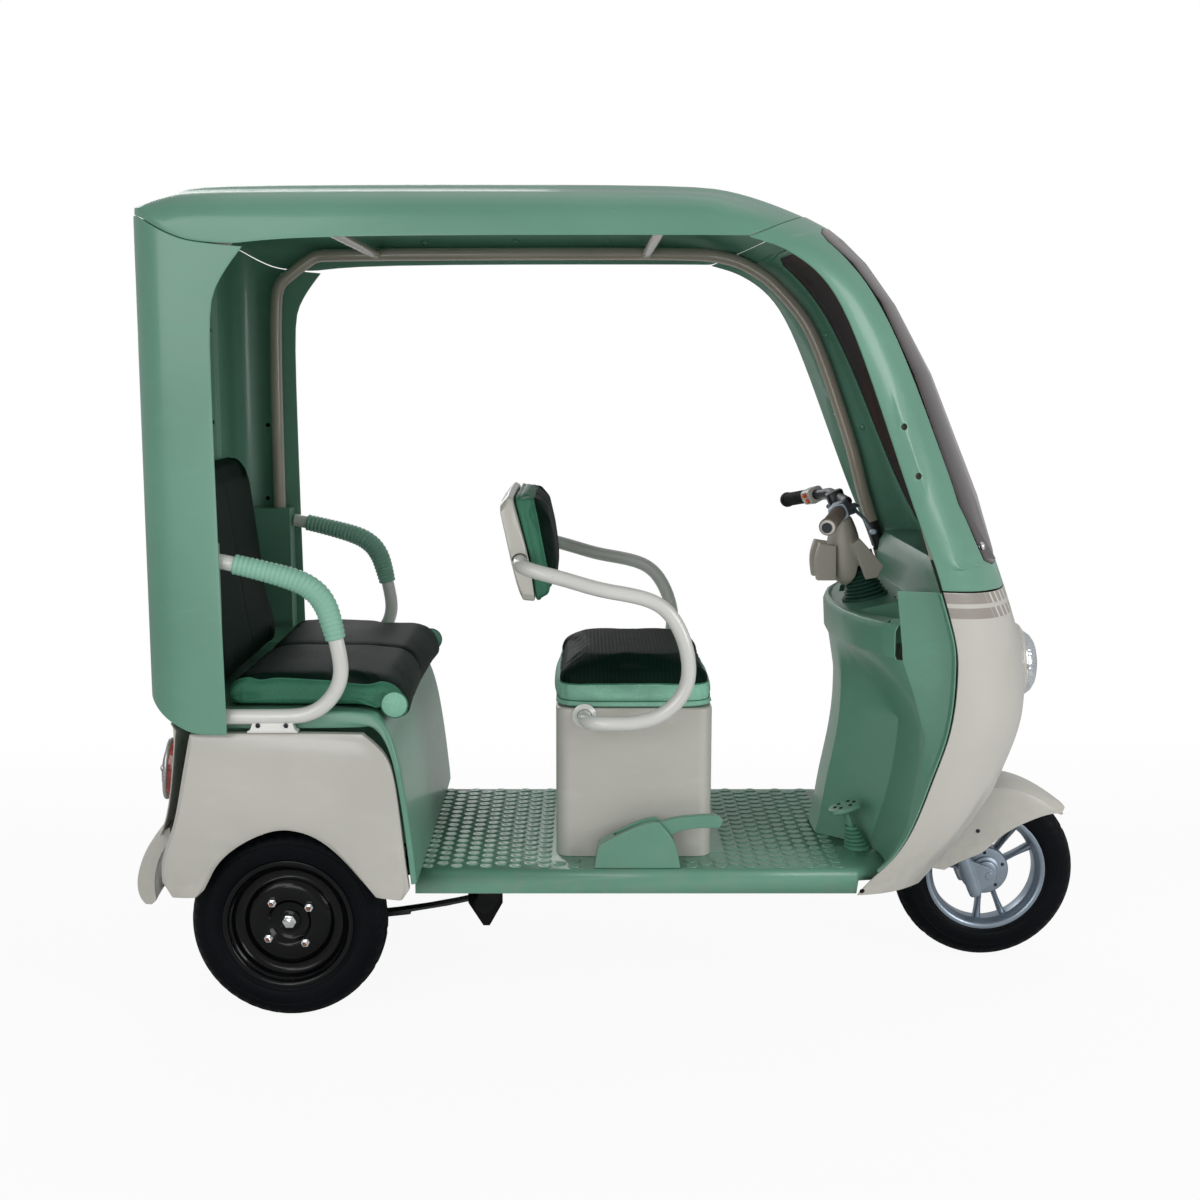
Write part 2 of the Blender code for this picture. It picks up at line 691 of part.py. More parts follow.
# Floor, seat base and fenders
SEAT_BASE_LINE = ((-0.4465, 0.3125, 0.440, 0.0135), (-0.4505, 0.360, 0.440, 0.0135),
                  (-0.4615, 0.460, 0.440, 0.0135),
                  (-0.475, 0.550, 0.440, 0.0135), (-0.487, 0.600, 0.435, 0.0135),
                  (-0.503, 0.645, 0.425, 0.020),
                  (-0.528, 0.674, 0.420, 0.030), (-0.565, 0.683, 0.420, 0.040),
                  (-0.760, 0.683, 0.420, 0.040),
                  (-0.935, 0.683, 0.420, 0.040))
FENDER_ARCH = ((-0.535, 0.289), (-0.567, 0.329), (-0.599, 0.368), (-0.636, 0.403), (-0.673, 0.4245),
               (-0.7125, 0.433), (-0.735, 0.432), (-0.760, 0.427), (-0.800, 0.410), (-0.838, 0.385),
               (-0.865, 0.358), (-0.880, 0.330), (-0.893, 0.303), (-0.908, 0.288))
FENDER_RIM = ((-0.478, 0.281), (-0.463, 0.302), (-0.472, 0.371), (-0.484, 0.495), (-0.4955, 0.572),
              (-0.520, 0.608), (-0.556, 0.637), (-0.740, 0.640), (-0.913, 0.637), (-0.937, 0.520),
              (-0.952, 0.437), (-0.984, 0.372), (-0.981, 0.320), (-0.962, 0.288))


def make_floor():
    """Flat floor with a skirt, narrower where it runs under the apron."""
    rows = ((-0.4615, 0.343, 0.260), (-0.15, 0.343, 0.260), (0.17, 0.343, 0.260), (0.4945, 0.343, 0.260),
            (0.500, 0.334, 0.286), (FLOOR_FRONT, 0.320, 0.286))
    grid = []
    for x, half_width, skirt in rows:
        half = ((half_width, skirt), (half_width, 0.298), (half_width - 0.003, 0.306),
                (half_width - 0.010, 0.3108),
                (half_width - 0.018, FLOOR_TOP), (half_width * 0.45, FLOOR_TOP))
        line = [Vector((x, -y, z)) for y, z in half]
        line.append(Vector((x, 0.0, FLOOR_TOP)))
        line += [Vector((x, y, z)) for y, z in reversed(half)]
        grid.append(line)
    hole = sweep("pedal_hole", [PEDAL_PAD + PEDAL_AXIS * 0.08, PEDAL_PAD + PEDAL_AXIS * 0.13],
                 circle(0.0115, 8), GREEN,
                 up=(0, 1, 0))
    return cut(sheet("floor_pan", grid, GREEN, (0, 0, 1)), hole)


def make_seat_base():
    """Moulding from the floor up to the rear seat deck, with inner wheel well walls."""
    grid = []
    for index, (x, z, width, drop) in enumerate(SEAT_BASE_LINE):
        before = SEAT_BASE_LINE[max(index - 1, 0)]
        after = SEAT_BASE_LINE[min(index + 1, len(SEAT_BASE_LINE) - 1)]
        course = Vector((after[0] - before[0], 0.0, after[1] - before[1])).normalized()
        inward = Vector((-course.z, 0.0, course.x))
        half = ((width, drop), (width, 0.010), (width - 0.003, 0.003), (width - 0.010, 0.0),
                (width * 0.6, 0.0),
                (width * 0.3, 0.0))
        line = [Vector((x, -y, z)) + inward * sunk for y, sunk in half]
        line.append(Vector((x, 0.0, z)))
        line += [Vector((x, y, z)) + inward * sunk for y, sunk in reversed(half)]
        grid.append(line)
    body = sheet("rear_seat_base", grid, GREEN, (1, 0, 1))
    outline = ((-0.930, 0.681), (-0.560, 0.681), (-0.525, 0.665), (-0.487, 0.590), (-0.4635, 0.458),
               (-0.4535, 0.360),
               (-0.585, 0.360), (-0.640, 0.430), (-0.820, 0.430), (-0.870, 0.360), (-0.930, 0.360))
    walls = [prism(f"well_wall_{word}", outline, side * 0.300 - 0.002, side * 0.300 + 0.002, GREEN)
             for side, word in SIDES]
    return fuse(body, *walls)


def make_rear_fender(side, word):
    """Fender with a rolled wheel arch and a flange round its rim."""
    columns = ((0.0, 0.437), (0.0, 0.449), (0.06, 0.4555), (0.3, 0.4585), (0.93, 0.4545), (1.0, 0.447),
               (1.0, 0.425))
    grid = []
    for low, high in zip(FENDER_ARCH, FENDER_RIM):
        grid.append([Vector((mix(low[0], high[0], share), side * y, mix(low[1], high[1], share)))
                     for share, y in columns])
    return sheet(f"rear_fender_{word}", grid, CREAM, (0, side, 0), thickness=0.0032)


# Tail
TAIL_TOP = (-0.950, 0.640)
TAIL_LOW = (-0.968, 0.460)
BUMPER_SECTION = ((-0.985, 0.425), (-1.012, 0.410), (-1.035, 0.382), (-1.054, 0.338), (-1.0615, 0.298),
                  (-1.055, 0.268),
                  (-1.043, 0.255), (-1.030, 0.254), (-1.019, 0.264), (-1.023, 0.303), (-1.015, 0.345),
                  (-1.000, 0.376),
                  (-0.982, 0.395))


def tail_ring(section, across, half_width, sweep_forward):
    """Section of the tail at a place across the vehicle, drawn forward towards the ends."""
    shift = sweep_forward * abs(across / half_width) ** 4
    return [Vector((x + shift, across, z)) for x, z in section]


def make_rear_bumper():
    """Curved bumper fused with the tail panel above it."""
    places = (-0.400, -0.38, -0.32, -0.20, 0.0, 0.20, 0.32, 0.38, 0.400)
    bumper = loft("rear_bumper", [tail_ring(BUMPER_SECTION, y, 0.400, 0.012) for y in places], CREAM)
    panel_section = ((-0.9965, 0.7190), (-0.976, 0.684), TAIL_TOP, TAIL_LOW, (-0.992, 0.412),
                     (-0.9885, 0.410),
                     (-0.9645, 0.459), (-0.9462, 0.639), (-0.972, 0.684), (-0.9925, 0.7190))
    panel = loft("tail_panel", [tail_ring(panel_section, y, 0.4235, 0.0) for y in (-0.4235, 0.4235)],
                 CREAM)
    upper = plate("tail_notch", ((-1.02, 0.3580), (-0.90, 0.3580), (-0.90, 0.43), (-1.02, 0.43)), 0.655,
                  0.73, CREAM)
    lower = plate("tail_notch_far", ((-1.02, -0.43), (-0.90, -0.43), (-0.90, -0.3580), (-1.02, -0.3580)),
                  0.655, 0.73, CREAM)
    return fuse(bumper, cut(panel, upper, lower))


def make_tail_lamp(side, word):
    """Oval lamp on the tail panel with a ring and a bar."""
    top = Vector((TAIL_TOP[0], 0.0, TAIL_TOP[1]))
    low = Vector((TAIL_LOW[0], 0.0, TAIL_LOW[1]))
    up = (top - low).normalized()
    out = Vector((-up.z, 0.0, up.x))
    centre = mix(low, top, 0.47) + Vector((0.0, side * 0.372, 0.0))
    section = circle(1.0, 14)
    rings = []
    for reach, width, height in ((GAP, 0.043, 0.066), (0.010, 0.0435, 0.067), (0.018, 0.040, 0.063),
                                 (0.0185, 0.034, 0.056), (0.024, 0.030, 0.050), (0.031, 0.016, 0.028)):
        rings.append([centre + out * reach + up * (b * height) + Vector((0, a * width, 0))
                      for a, b in section])
    return loft(f"tail_lamp_{word}", rings, RED)


# Chassis, battery and rear axle
RAIL_Y = 0.220
RAIL_SIZE = 0.040
RAIL_TOP = FLOOR_TOP - SHELL - GAP
SPRING_Y = 0.255
SPRING_WIDTH = 0.030
HEAD_LOW = 0.300
HEAD_HIGH = 0.455
STEM_RADIUS = 0.016
FORK_Y = 0.063
STANCHION_RADIUS = 0.0135
AXLE_TUBE_RADIUS = 0.028
RIM_RADIUS = 0.1405
BEAD_RADIUS = 0.128
WHEEL_SIDES = 20


def make_chassis():
    """Two rails kicked up over the axle, cross members, neck with head tube, and spring hangers."""
    low = RAIL_TOP - RAIL_SIZE / 2
    parts = []
    for side, word in SIDES:
        y = side * RAIL_Y
        route = fillet([(-0.962, y, 0.415), (-0.640, y, 0.415), (-0.530, y, low), (0.606, y, low)], 0.05, 2)
        parts.append(sweep(f"rail_{word}", route, square(RAIL_SIZE), STEEL))
        outer = side * (SPRING_Y + SPRING_WIDTH / 2 + 0.0025)
        near = side * 0.236
        for end, x, base, top in (("front", -0.315, 0.2317, 0.290), ("back", -0.960, 0.2317, 0.430)):
            outline = ((x - 0.018, base), (x + 0.018, base), (x + 0.018, top), (x - 0.018, top))
            parts.append(prism(f"hanger_{end}_{word}", outline, near, outer, STEEL))
        cheek = ((-0.352, 0.285), (-0.276, 0.285), (-0.276, 0.216), (-0.305, 0.164), (-0.319, 0.164),
                 (-0.352, 0.216))
        parts.append(prism(f"cheek_{word}", cheek, outer - side * 0.0015, outer + side * 0.004, STEEL))
    cross = RAIL_TOP - 0.017
    for number, (x, half, z) in enumerate(((-0.945, RAIL_Y, 0.415), (-0.250, 0.322, cross),
                                           (0.200, 0.322, cross), (0.594, RAIL_Y, cross))):
        parts.append(sweep(f"cross_{number}", [(x, -half, z), (x, half, z)], square(0.030), STEEL))
    middle = (HEAD_LOW + HEAD_HIGH) / 2
    neck = fillet([(0.591, 0, cross), (0.591, 0, 0.430), on_steering(middle, ahead=-0.015)], 0.12, 3)
    parts.append(sweep("neck", neck, square(0.040, 0.022), STEEL, up=(1, 0, 0)))
    parts.append(bar("head_tube", on_steering(HEAD_LOW), on_steering(HEAD_HIGH), 0.027, STEEL, 12))
    bore = bar("head_bore", on_steering(HEAD_LOW - 0.05), on_steering(HEAD_HIGH + 0.05),
               STEM_RADIUS + 0.0012, STEEL, 12)
    frame = fuse(parts[0], *parts[1:])
    frame.name = "chassis_frame"
    return cut(frame, bore)


def make_battery():
    """Battery case with a ribbed lid, under the driver's seat."""
    rings = []
    for z, grow in ((FLOOR_TOP + GAP, 1.0), (0.500, 1.0), (0.503, 1.02), (0.520, 1.02), (0.526, 0.97)):
        rings.append([Vector((0.015 + x * grow, y * grow, z)) for x, y in rounded_box(0.27, 0.36, 0.012, 2)])
    return loft("battery_pack", rings, BLACK)


def spring_line(x):
    """Underside of a leaf spring's main leaf."""
    reach = (x - REAR_AXLE_X) / (0.414 if x > REAR_AXLE_X else 0.231)
    return AXLE_HEIGHT - AXLE_TUBE_RADIUS - 0.0070 + 0.050 * reach * reach


def make_leaf_spring(side, word):
    """Leaf spring slung under the axle: a long main leaf and two shorter ones."""
    thick = 0.006
    top = [(x, spring_line(x) + thick) for x in [mix(-0.960, -0.315, step / 10) for step in range(11)]]
    outline = list(top)
    outline += [(-0.315, spring_line(-0.315)), (-0.400, spring_line(-0.400)),
                (-0.480, spring_line(-0.480)),
                (-0.481, spring_line(-0.480) - thick), (-0.600, spring_line(-0.600) - thick),
                (-0.601, spring_line(-0.600) - 2 * thick),
                (REAR_AXLE_X, spring_line(REAR_AXLE_X) - 2 * thick),
                (-0.814, spring_line(-0.815) - 2 * thick), (-0.815, spring_line(-0.815) - thick),
                (-0.869, spring_line(-0.870) - thick), (-0.870, spring_line(-0.870)),
                (-0.920, spring_line(-0.920)),
                (-0.960, spring_line(-0.960))]
    low = side * SPRING_Y - SPRING_WIDTH / 2
    return prism(f"leaf_spring_{word}", outline, low, low + SPRING_WIDTH, STEEL)


def make_rear_axle():
    """Axle tube with the differential housing, the motor and two brake drums."""
    centre = Vector((REAR_AXLE_X, 0, AXLE_HEIGHT))
    hub = REAR_TRACK_HALF + 0.0035
    half = [(AXLE_TUBE_RADIUS, 0.085), (AXLE_TUBE_RADIUS, 0.288), (0.076, 0.296), (0.076, 0.330),
            (0.024, 0.338),
            (0.024, hub), (0.0, hub)]
    housing = [(0.055, 0.070), (0.074, 0.030)]
    profile = [(radius, -reach) for radius, reach in reversed(half)]
    profile += [(radius, -reach) for radius, reach in housing] + list(reversed(housing)) + half
    tube = turned("rear_axle", profile, centre, (0, 1, 0), STEEL, 12)
    motor = turned("motor", [(0.0, -0.105), (0.045, -0.105), (0.060, -0.095), (0.062, 0.060),
                             (0.050, 0.075),
                             (0.0, 0.075)], centre + Vector((0.112, 0, 0.018)), (0, 1, 0), STEEL, 12)
    return fuse(tube, motor)


# Wheels
def make_tyre(name, centre, half_width):
    """Tyre with rounded shoulders on its rim."""
    wide = half_width
    side = [(BEAD_RADIUS + GAP, 0.031), (0.142, 0.0328), (0.155, wide * 0.98), (0.190, wide * 0.92),
            (WHEEL_RADIUS, wide * 0.35)]
    profile = side + [(radius, -reach) for radius, reach in reversed(side)]
    return turned(name, profile, centre, (0, 1, 0), BLACK, WHEEL_SIDES)


def make_front_rim():
    """Alloy rim with a hub and three pairs of spokes."""
    centre = Vector((FRONT_AXLE_X, 0, AXLE_HEIGHT))
    barrel = turned("front_rim", [(RIM_RADIUS, -0.0355), (BEAD_RADIUS, -0.0315), (BEAD_RADIUS, 0.0315),
                                  (RIM_RADIUS, 0.0355), (0.131, 0.0365), (0.121, 0.026), (0.121, -0.026),
                                  (0.131, -0.0365)],
                    centre, (0, 1, 0), ALLOY, WHEEL_SIDES)
    hub = turned("front_hub", [(0.0105, -0.044), (0.027, -0.044), (0.040, -0.020), (0.040, 0.020),
                               (0.027, 0.044),
                               (0.0105, 0.044)], centre, (0, 1, 0), ALLOY, 12)
    spokes = []
    for number in range(3):
        for twin in (-1, 1):
            turn = math.radians(40.0 + 120.0 * number)
            along_spoke = Vector((math.cos(turn), 0.0, math.sin(turn)))
            beside = Vector((-math.sin(turn), 0.0, math.cos(turn)))
            start = centre + along_spoke * 0.030 + beside * twin * 0.010
            end = centre + along_spoke * 0.1192 + beside * twin * 0.030
            spokes.append(sweep(f"spoke_{number}_{twin + 1}", [start, end], square(0.015, 0.030),
                                ALLOY, up=(0, 1, 0), size=lambda share: 1.0 - 0.30 * share))
    return fuse(barrel, hub, *spokes)


def make_rear_rim(side, word):
    """Pressed steel wheel with a dished disc and a hub cap."""
    centre = Vector((REAR_AXLE_X, side * REAR_TRACK_HALF, AXLE_HEIGHT))
    profile = [(0.079, 0.020), (0.048, 0.020), (0.040, 0.009), (0.018, 0.009), (0.015, 0.0245),
               (0.0, 0.0262), (0.0, 0.0055), (0.118, 0.004), (0.1235, -0.030), (RIM_RADIUS, -0.0365),
               (BEAD_RADIUS, -0.0325), (BEAD_RADIUS, 0.0325), (RIM_RADIUS, 0.0365), (0.130, 0.0375),
               (0.119, 0.021), (0.094, 0.007)]
    profile = [(radius, side * reach) for radius, reach in profile]
    return turned(f"rear_rim_{word}", profile, centre, (0, 1, 0), STEEL, WHEEL_SIDES)


# Front fork and fender
def make_steering_fork():
    """Stem, crown and two stanchions."""
    stem = bar("steering_fork", on_steering(0.275), on_steering(0.922), STEM_RADIUS, STEEL, 12)
    crown_ring = [on_steering(0.282, a, b) for a, b in rounded_box(2 * FORK_Y + 0.044, 0.052, 0.020, 2)]
    crown = loft("crown", [crown_ring, [point - STEER_UP * 0.024 for point in crown_ring]], STEEL)
    legs = [bar(f"stanchion_{word}", on_steering(0.270, side * FORK_Y), on_steering(0.072, side * FORK_Y),
                STANCHION_RADIUS, CHROME, 12) for side, word in SIDES]
    return fuse(stem, crown, *legs)


def make_fork_lowers():
    """Two sliders joined by the wheel axle, which sits ahead of them."""
    centre = Vector((FRONT_AXLE_X, 0, AXLE_HEIGHT))
    axle = bar("fork_lowers", centre - Vector((0, 0.074, 0)), centre + Vector((0, 0.074, 0)), 0.0092,
               STEEL, 12)
    parts = []
    bores = []
    for side, word in SIDES:
        y = side * FORK_Y
        parts.append(turned(f"slider_{word}", [(0.0, -0.052), (0.0135, -0.052), (0.0175, -0.042),
                                               (0.0175, 0.200),
                                               (0.0, 0.200)], on_steering(0.0, y), STEER_UP, STEEL, 12))
        lug = [centre + Vector((0, 0, 0.020)), centre + Vector((0.018, 0, 0.004)),
               centre + Vector((0.012, 0, -0.020)),
               on_steering(-0.045), on_steering(0.045)]
        parts.append(prism(f"lug_{word}", [(point.x, point.z) for point in lug], y - 0.0085, y + 0.0085,
                           STEEL))
        bores.append(bar(f"slider_bore_{word}", on_steering(0.036, y), on_steering(0.24, y),
                         STANCHION_RADIUS + 0.0008, STEEL, 12))
    return cut(fuse(axle, *parts), *bores)


def fender_skirt(angle):
    """Distance of the front fender's lower edge from the axle at an angle above the horizontal."""
    return along(((40, 0.222), (45, 0.212), (55, 0.172), (63, 0.140), (78, 0.105), (91, 0.075),
                  (110, 0.062),
                  (130, 0.062), (150, 0.085), (168, 0.105), (176, 0.125)), angle)


def make_front_fender():
    """Front fender with side skirts, open round the fork legs."""
    half_width = 0.0848
    grid = []
    for angle in (41, 47, 56, 68, 82, 98, 116, 142, 170):
        turn = math.radians(angle)
        skirt = fender_skirt(angle)
        narrow = 0.72 + 0.28 * ease(angle, 38.0, 62.0)
        low = mix(0.222, skirt, 0.35)
        half = ((0.0, 0.2365), (0.052, 0.2335), (0.079, 0.217), (half_width, low), (half_width, skirt))
        row = [(-y, radius) for y, radius in reversed(half[1:])] + list(half)
        tip = 0.006 * (1.0 - ease(angle, 40.0, 52.0))
        grid.append([Vector((FRONT_AXLE_X + (radius + tip) * math.cos(turn), y * narrow,
                             AXLE_HEIGHT + (radius + tip) * math.sin(turn))) for y, radius in row])
    body = sheet("front_fender", grid, CREAM, (0, 0, 1), thickness=0.0032)
    holes = [bar(f"leg_hole_{word}", on_steering(0.150, side * FORK_Y), on_steering(0.300, side * FORK_Y),
                 0.0186, CREAM, 14) for side, word in SIDES]
    return cut(body, *holes)


# Seats
BOX_CENTRE_X = 0.0145
BOX_LENGTH = 0.345
BOX_WIDTH = 0.490
BOX_TOP = 0.648
BACKREST_BORE = (-0.2355, 0.970)
BACKREST_MIDDLE_Z = 0.985
BACKREST_FRONT = ((-0.204, 0.8753), (-0.215, 0.97), (-0.240, 1.07), (-0.2505, 1.112))
BACKREST_BACK = ((-0.262, 1.118), (-0.279, 1.098), (-0.268, 1.04), (-0.2565, 0.97), (-0.240, 0.90),
                 (-0.2302, 0.8776))
BACKREST_PAD_FRONT = ((-0.207, 1.121), (-0.190, 1.112), (-0.171, 1.030), (-0.1625, 0.97), (-0.161, 0.900),
                      (-0.172, 0.882))
SHELL_RINGS = ((-0.225, 0.80), (-0.215, 0.93), (-0.190, 1.0), (0.190, 1.0), (0.215, 0.93), (0.225, 0.80))
REAR_CUSHION_LINE = ((-0.862, 0.6845), (-0.560, 0.6845), (-0.527, 0.6795), (-0.502, 0.657),
                     (-0.490, 0.641),
                     (-0.470, 0.640), (-0.459, 0.657), (-0.462, 0.690), (-0.478, 0.722), (-0.510, 0.738),
                     (-0.600, 0.745), (-0.750, 0.747), (-0.840, 0.742), (-0.860, 0.722))
REAR_PAD_LINE = ((-0.966, 0.6905), (-0.9862, 0.740), (-0.9862, 1.155), (-0.978, 1.177), (-0.957, 1.180),
                 (-0.938, 1.165), (-0.925, 1.10), (-0.897, 0.90), (-0.885, 0.81), (-0.870, 0.745),
                 (-0.871, 0.6925))


def make_seat_box():
    """Open-bottomed box that carries the driver's seat over the battery."""
    walls = []
    for name, inset, low, high in (("driver_seat_box", 0.0, FLOOR_TOP + GAP, BOX_TOP),
                                   ("seat_box_room", SHELL, FLOOR_TOP - 0.01, BOX_TOP - SHELL)):
        outline = rounded_box(BOX_LENGTH - 2 * inset, BOX_WIDTH - 2 * inset, 0.032 - inset, 3)
        rings = []
        for z, grow in ((low, 1.0), (high - 0.004, 1.0), (high, 1.0 if inset else 0.985)):
            rings.append([Vector((BOX_CENTRE_X + x * grow, y * grow, z)) for x, y in outline])
        walls.append(loft(name, rings, CREAM))
    return cut(walls[0], walls[1])


def make_driver_cushion():
    """Driver's cushion with a crown and two seams, hinged at its front edge."""
    outline = rounded_box(0.3565, 0.500, 0.055, 3)
    rings = []
    for z, grow, shift in ((BOX_TOP + GAP, 0.975, 0.0), (0.654, 0.996, 0.0), (0.690, 1.0, 0.0),
                           (0.694, 0.988, 0.0),
                           (0.698, 0.994, 0.0), (0.722, 0.975, -0.001), (0.742, 0.90, -0.003),
                           (0.751, 0.76, -0.004),
                           (0.7535, 0.40, -0.004)):
        rings.append([Vector((BOX_CENTRE_X + shift + x * grow, y * (grow + (1.0 - grow) * 0.3), z))
                      for x, y in outline])
    return pivot(loft("driver_cushion", rings, DARK_GREEN), (0.1885, 0.0, 0.652))


def backrest_ring(points, across, tall):
    """Backrest outline at a place across the vehicle, shortened about its middle height."""
    return [Vector((x, across, BACKREST_MIDDLE_Z + (z - BACKREST_MIDDLE_Z) * tall)) for x, z in points]


def make_backrest_shell():
    """Moulded shell behind the driver's backrest pad, with the bore that the arm frame passes through."""
    rings = [backrest_ring(BACKREST_FRONT + BACKREST_BACK, across, tall) for across, tall in SHELL_RINGS]
    shell = loft("driver_backrest_shell", rings, CREAM)
    x, z = BACKREST_BORE
    bore = sweep("shell_bore", [(x, -0.26, z), (x, 0.26, z)], circle(TUBE_RADIUS + 0.0019, 10), CREAM)
    return cut(shell, bore)


def make_backrest_pad():
    """Driver's backrest pad with a crown and drawn-in ends."""
    rings = []
    for across, tall, deep in ((-0.214, 0.935, 0.62), (-0.206, 0.955, 0.86), (-0.188, 1.0, 1.0),
                               (-0.10, 1.0, 1.06),
                               (0.0, 1.0, 1.09), (0.10, 1.0, 1.06), (0.188, 1.0, 1.0),
                               (0.206, 0.955, 0.86),
                               (0.214, 0.935, 0.62)):
        points = []
        for x, z in BACKREST_FRONT:
            points.append((x + 0.0014, z))
        for x, z in BACKREST_PAD_FRONT:
            rear = along([(height, place) for place, height in BACKREST_FRONT], z)
            points.append((rear + (x - rear) * deep, z))
        rings.append(backrest_ring(points, across, tall))
    return loft("driver_backrest_pad", rings, DARK_GREEN)


def seat_top(x):
    """Height of the seat base's upper side."""
    return along([(place, height) for place, height, _, _ in SEAT_BASE_LINE], x)


def cushion_rings(outline, places, middle):
    """Outlines across a cushion: each place has a scale about the middle and a drop of the upper side."""
    rings = []
    for across, grow, drop in places:
        ring = []
        for x, z in outline:
            upper = 1.0 if z > middle[1] else 0.0
            place = middle[0] + (x - middle[0]) * grow
            height = middle[1] + (z - middle[1]) * grow - drop * upper
            ring.append(Vector((place, across, max(height, seat_top(place) + 0.0060))))
        rings.append(ring)
    return rings


def make_rear_cushion():
    """Bench cushion with a rolled front and a channel down its middle, hinged at the front."""
    half = ((0.0, 1.0, 0.008), (0.014, 1.0, 0.0), (0.20, 1.0, 0.0), (0.355, 1.0, 0.0),
            (0.390, 0.975, 0.002),
            (0.405, 0.92, 0.004))
    places = [(-y, grow, drop) for y, grow, drop in reversed(half[1:])] + list(half)
    body = loft("rear_cushion", cushion_rings(REAR_CUSHION_LINE, places, (-0.660, 0.7050)), DARK_GREEN)
    return pivot(body, (-0.470, 0.0, 0.650))


def make_rear_pad():
    """Bench backrest pad against the rear wall."""
    rings = []
    for across, grow in ((-0.327, 0.86), (-0.318, 0.96), (-0.290, 1.0), (0.0, 1.0), (0.290, 1.0),
                         (0.318, 0.96),
                         (0.327, 0.86)):
        ring = []
        for x, z in REAR_PAD_LINE:
            ring.append(Vector((-0.9862 + (x + 0.9862) * grow, across,
                                0.935 + (z - 0.935) * mix(1.0, grow, 0.3))))
        rings.append(ring)
    return loft("rear_backrest_pad", rings, DARK_GREEN)


# Tube work
ARM_FRAME_Y = 0.329
ARM_FRAME_SIDE = ((-0.095, 0.632), (0.012, 0.632), (0.067, 0.648), (0.109, 0.685), (0.128, 0.728),
                  (0.1255, 0.783),
                  (0.108, 0.837), (0.074, 0.886), (0.023, 0.907), (-0.062, 0.922), (-0.147, 0.948))
ARMREST_Y = 0.439
ARMREST_LINE = ((-0.8435, 0.9973), (-0.80, 0.989), (-0.700, 0.963), (-0.656, 0.945), (-0.628, 0.915),
                (-0.6165, 0.878),
                (-0.600, 0.805), (-0.595, 0.763), (-0.603, 0.735), (-0.6225, 0.705), (-0.650, 0.684),
                (-0.682, 0.674),
                (-0.850, 0.673))
SLEEVE_RIBS = 11
SLEEVE_LENGTH = 0.2895
SLEEVE_START = 0.030
ROOF_TUBE_LINE = ((-0.8815, 0.440, 1.0303), (-0.877, 0.440, 1.540), (-0.842, 0.440, 1.613),
                  (-0.783, 0.440, 1.655),
                  (-0.700, 0.440, 1.667), (0.100, 0.440, 1.670), (0.260, 0.430, 1.659),
                  (0.335, 0.420, 1.628),
                  (0.395, 0.414, 1.580), (0.480, 0.404, 1.466), (0.575, 0.392, 1.208),
                  (0.613, 0.389, 1.072),
                  (0.661, 0.386, 0.931))


def make_arm_frame():
    """Bent tube round the driver: up from the seat box, along the arm and through the backrest shell."""
    side = [(x, ARM_FRAME_Y, z) for x, z in ARM_FRAME_SIDE]
    bore_x, bore_z = BACKREST_BORE
    foot = fillet([(-0.095, 0.2458, 0.632), (-0.095, ARM_FRAME_Y, 0.632), side[1]], 0.034, 2)
    turn_in = fillet([side[-1], (bore_x, ARM_FRAME_Y, bore_z), (bore_x, 0.20, bore_z)], 0.05, 3)
    left = foot[:-1] + [Vector(point) for point in side[1:-1]] + turn_in[:-1]
    mirror = [Vector((point.x, -point.y, point.z)) for point in reversed(left)]
    return sweep("driver_arm_frame", left + mirror, circle(TUBE_RADIUS, 8), WHITE, up=(0, 0, 1))


def make_armrest(side, word):
    """Bench armrest of bent tube with the bracket that stands on the fender."""
    y = side * ARMREST_Y
    tube = sweep(f"armrest_{word}", [(x, y, z) for x, z in ARMREST_LINE], circle(TUBE_RADIUS, 8), WHITE,
                 up=(0, 1, 0))
    bracket = prism(f"armrest_bracket_{word}", ((-0.790, 0.6406), (-0.690, 0.6406), (-0.700, 0.670),
                                                (-0.780, 0.670)),
                    y - 0.010, y + 0.010, WHITE)
    return fuse(tube, bracket)


def point_at(route, distance):
    """Point and heading at a distance along a polyline."""
    travelled = 0.0
    for start, end in zip(route, route[1:]):
        length = (end - start).length
        if travelled + length >= distance or end is route[-1]:
            return start.lerp(end, (distance - travelled) / length), (end - start) / length
        travelled += length
    return route[-1], (route[-1] - route[-2]).normalized()


def make_sleeve(side, word):
    """Ribbed sleeve on the armrest tube."""
    route = [Vector((x, side * ARMREST_Y, z)) for x, z in ARMREST_LINE]
    sideways = Vector((0.0, 1.0, 0.0))

    def ring(distance, radius):
        before, heading = point_at(route, distance - 0.004)
        after, beyond = point_at(route, distance + 0.004)
        ahead = (heading + beyond).normalized()
        across = ahead.cross(sideways).normalized()
        middle = point_at(route, distance)[0]
        return [middle + across * a + across.cross(ahead) * b for a, b in circle(radius, 8)]

    rings = []
    pitch = SLEEVE_LENGTH / SLEEVE_RIBS
    for rib in range(SLEEVE_RIBS):
        share = (rib + 0.5) / SLEEVE_RIBS
        swell = 0.021 + 0.0035 * math.sin(math.pi * share ** 1.6)
        rings.append(ring(SLEEVE_START + pitch * (rib + 0.10), swell - 0.0018))
        rings.append(ring(SLEEVE_START + pitch * (rib + 0.55), swell))
    knots = [0.0]
    for start, end in zip(route, route[1:]):
        knots.append(knots[-1] + (end - start).length)
    inner = [SLEEVE_START + pitch * 0.10]
    inner += [knot for knot in knots if SLEEVE_START + 0.01 < knot < SLEEVE_START + SLEEVE_LENGTH - 0.02]
    inner.append(SLEEVE_START + pitch * (SLEEVE_RIBS - 0.45))
    rings += [ring(distance, TUBE_RADIUS + 0.0008) for distance in reversed(inner)]
    return loft(f"arm_sleeve_{word}", rings, GREEN, closed=True)


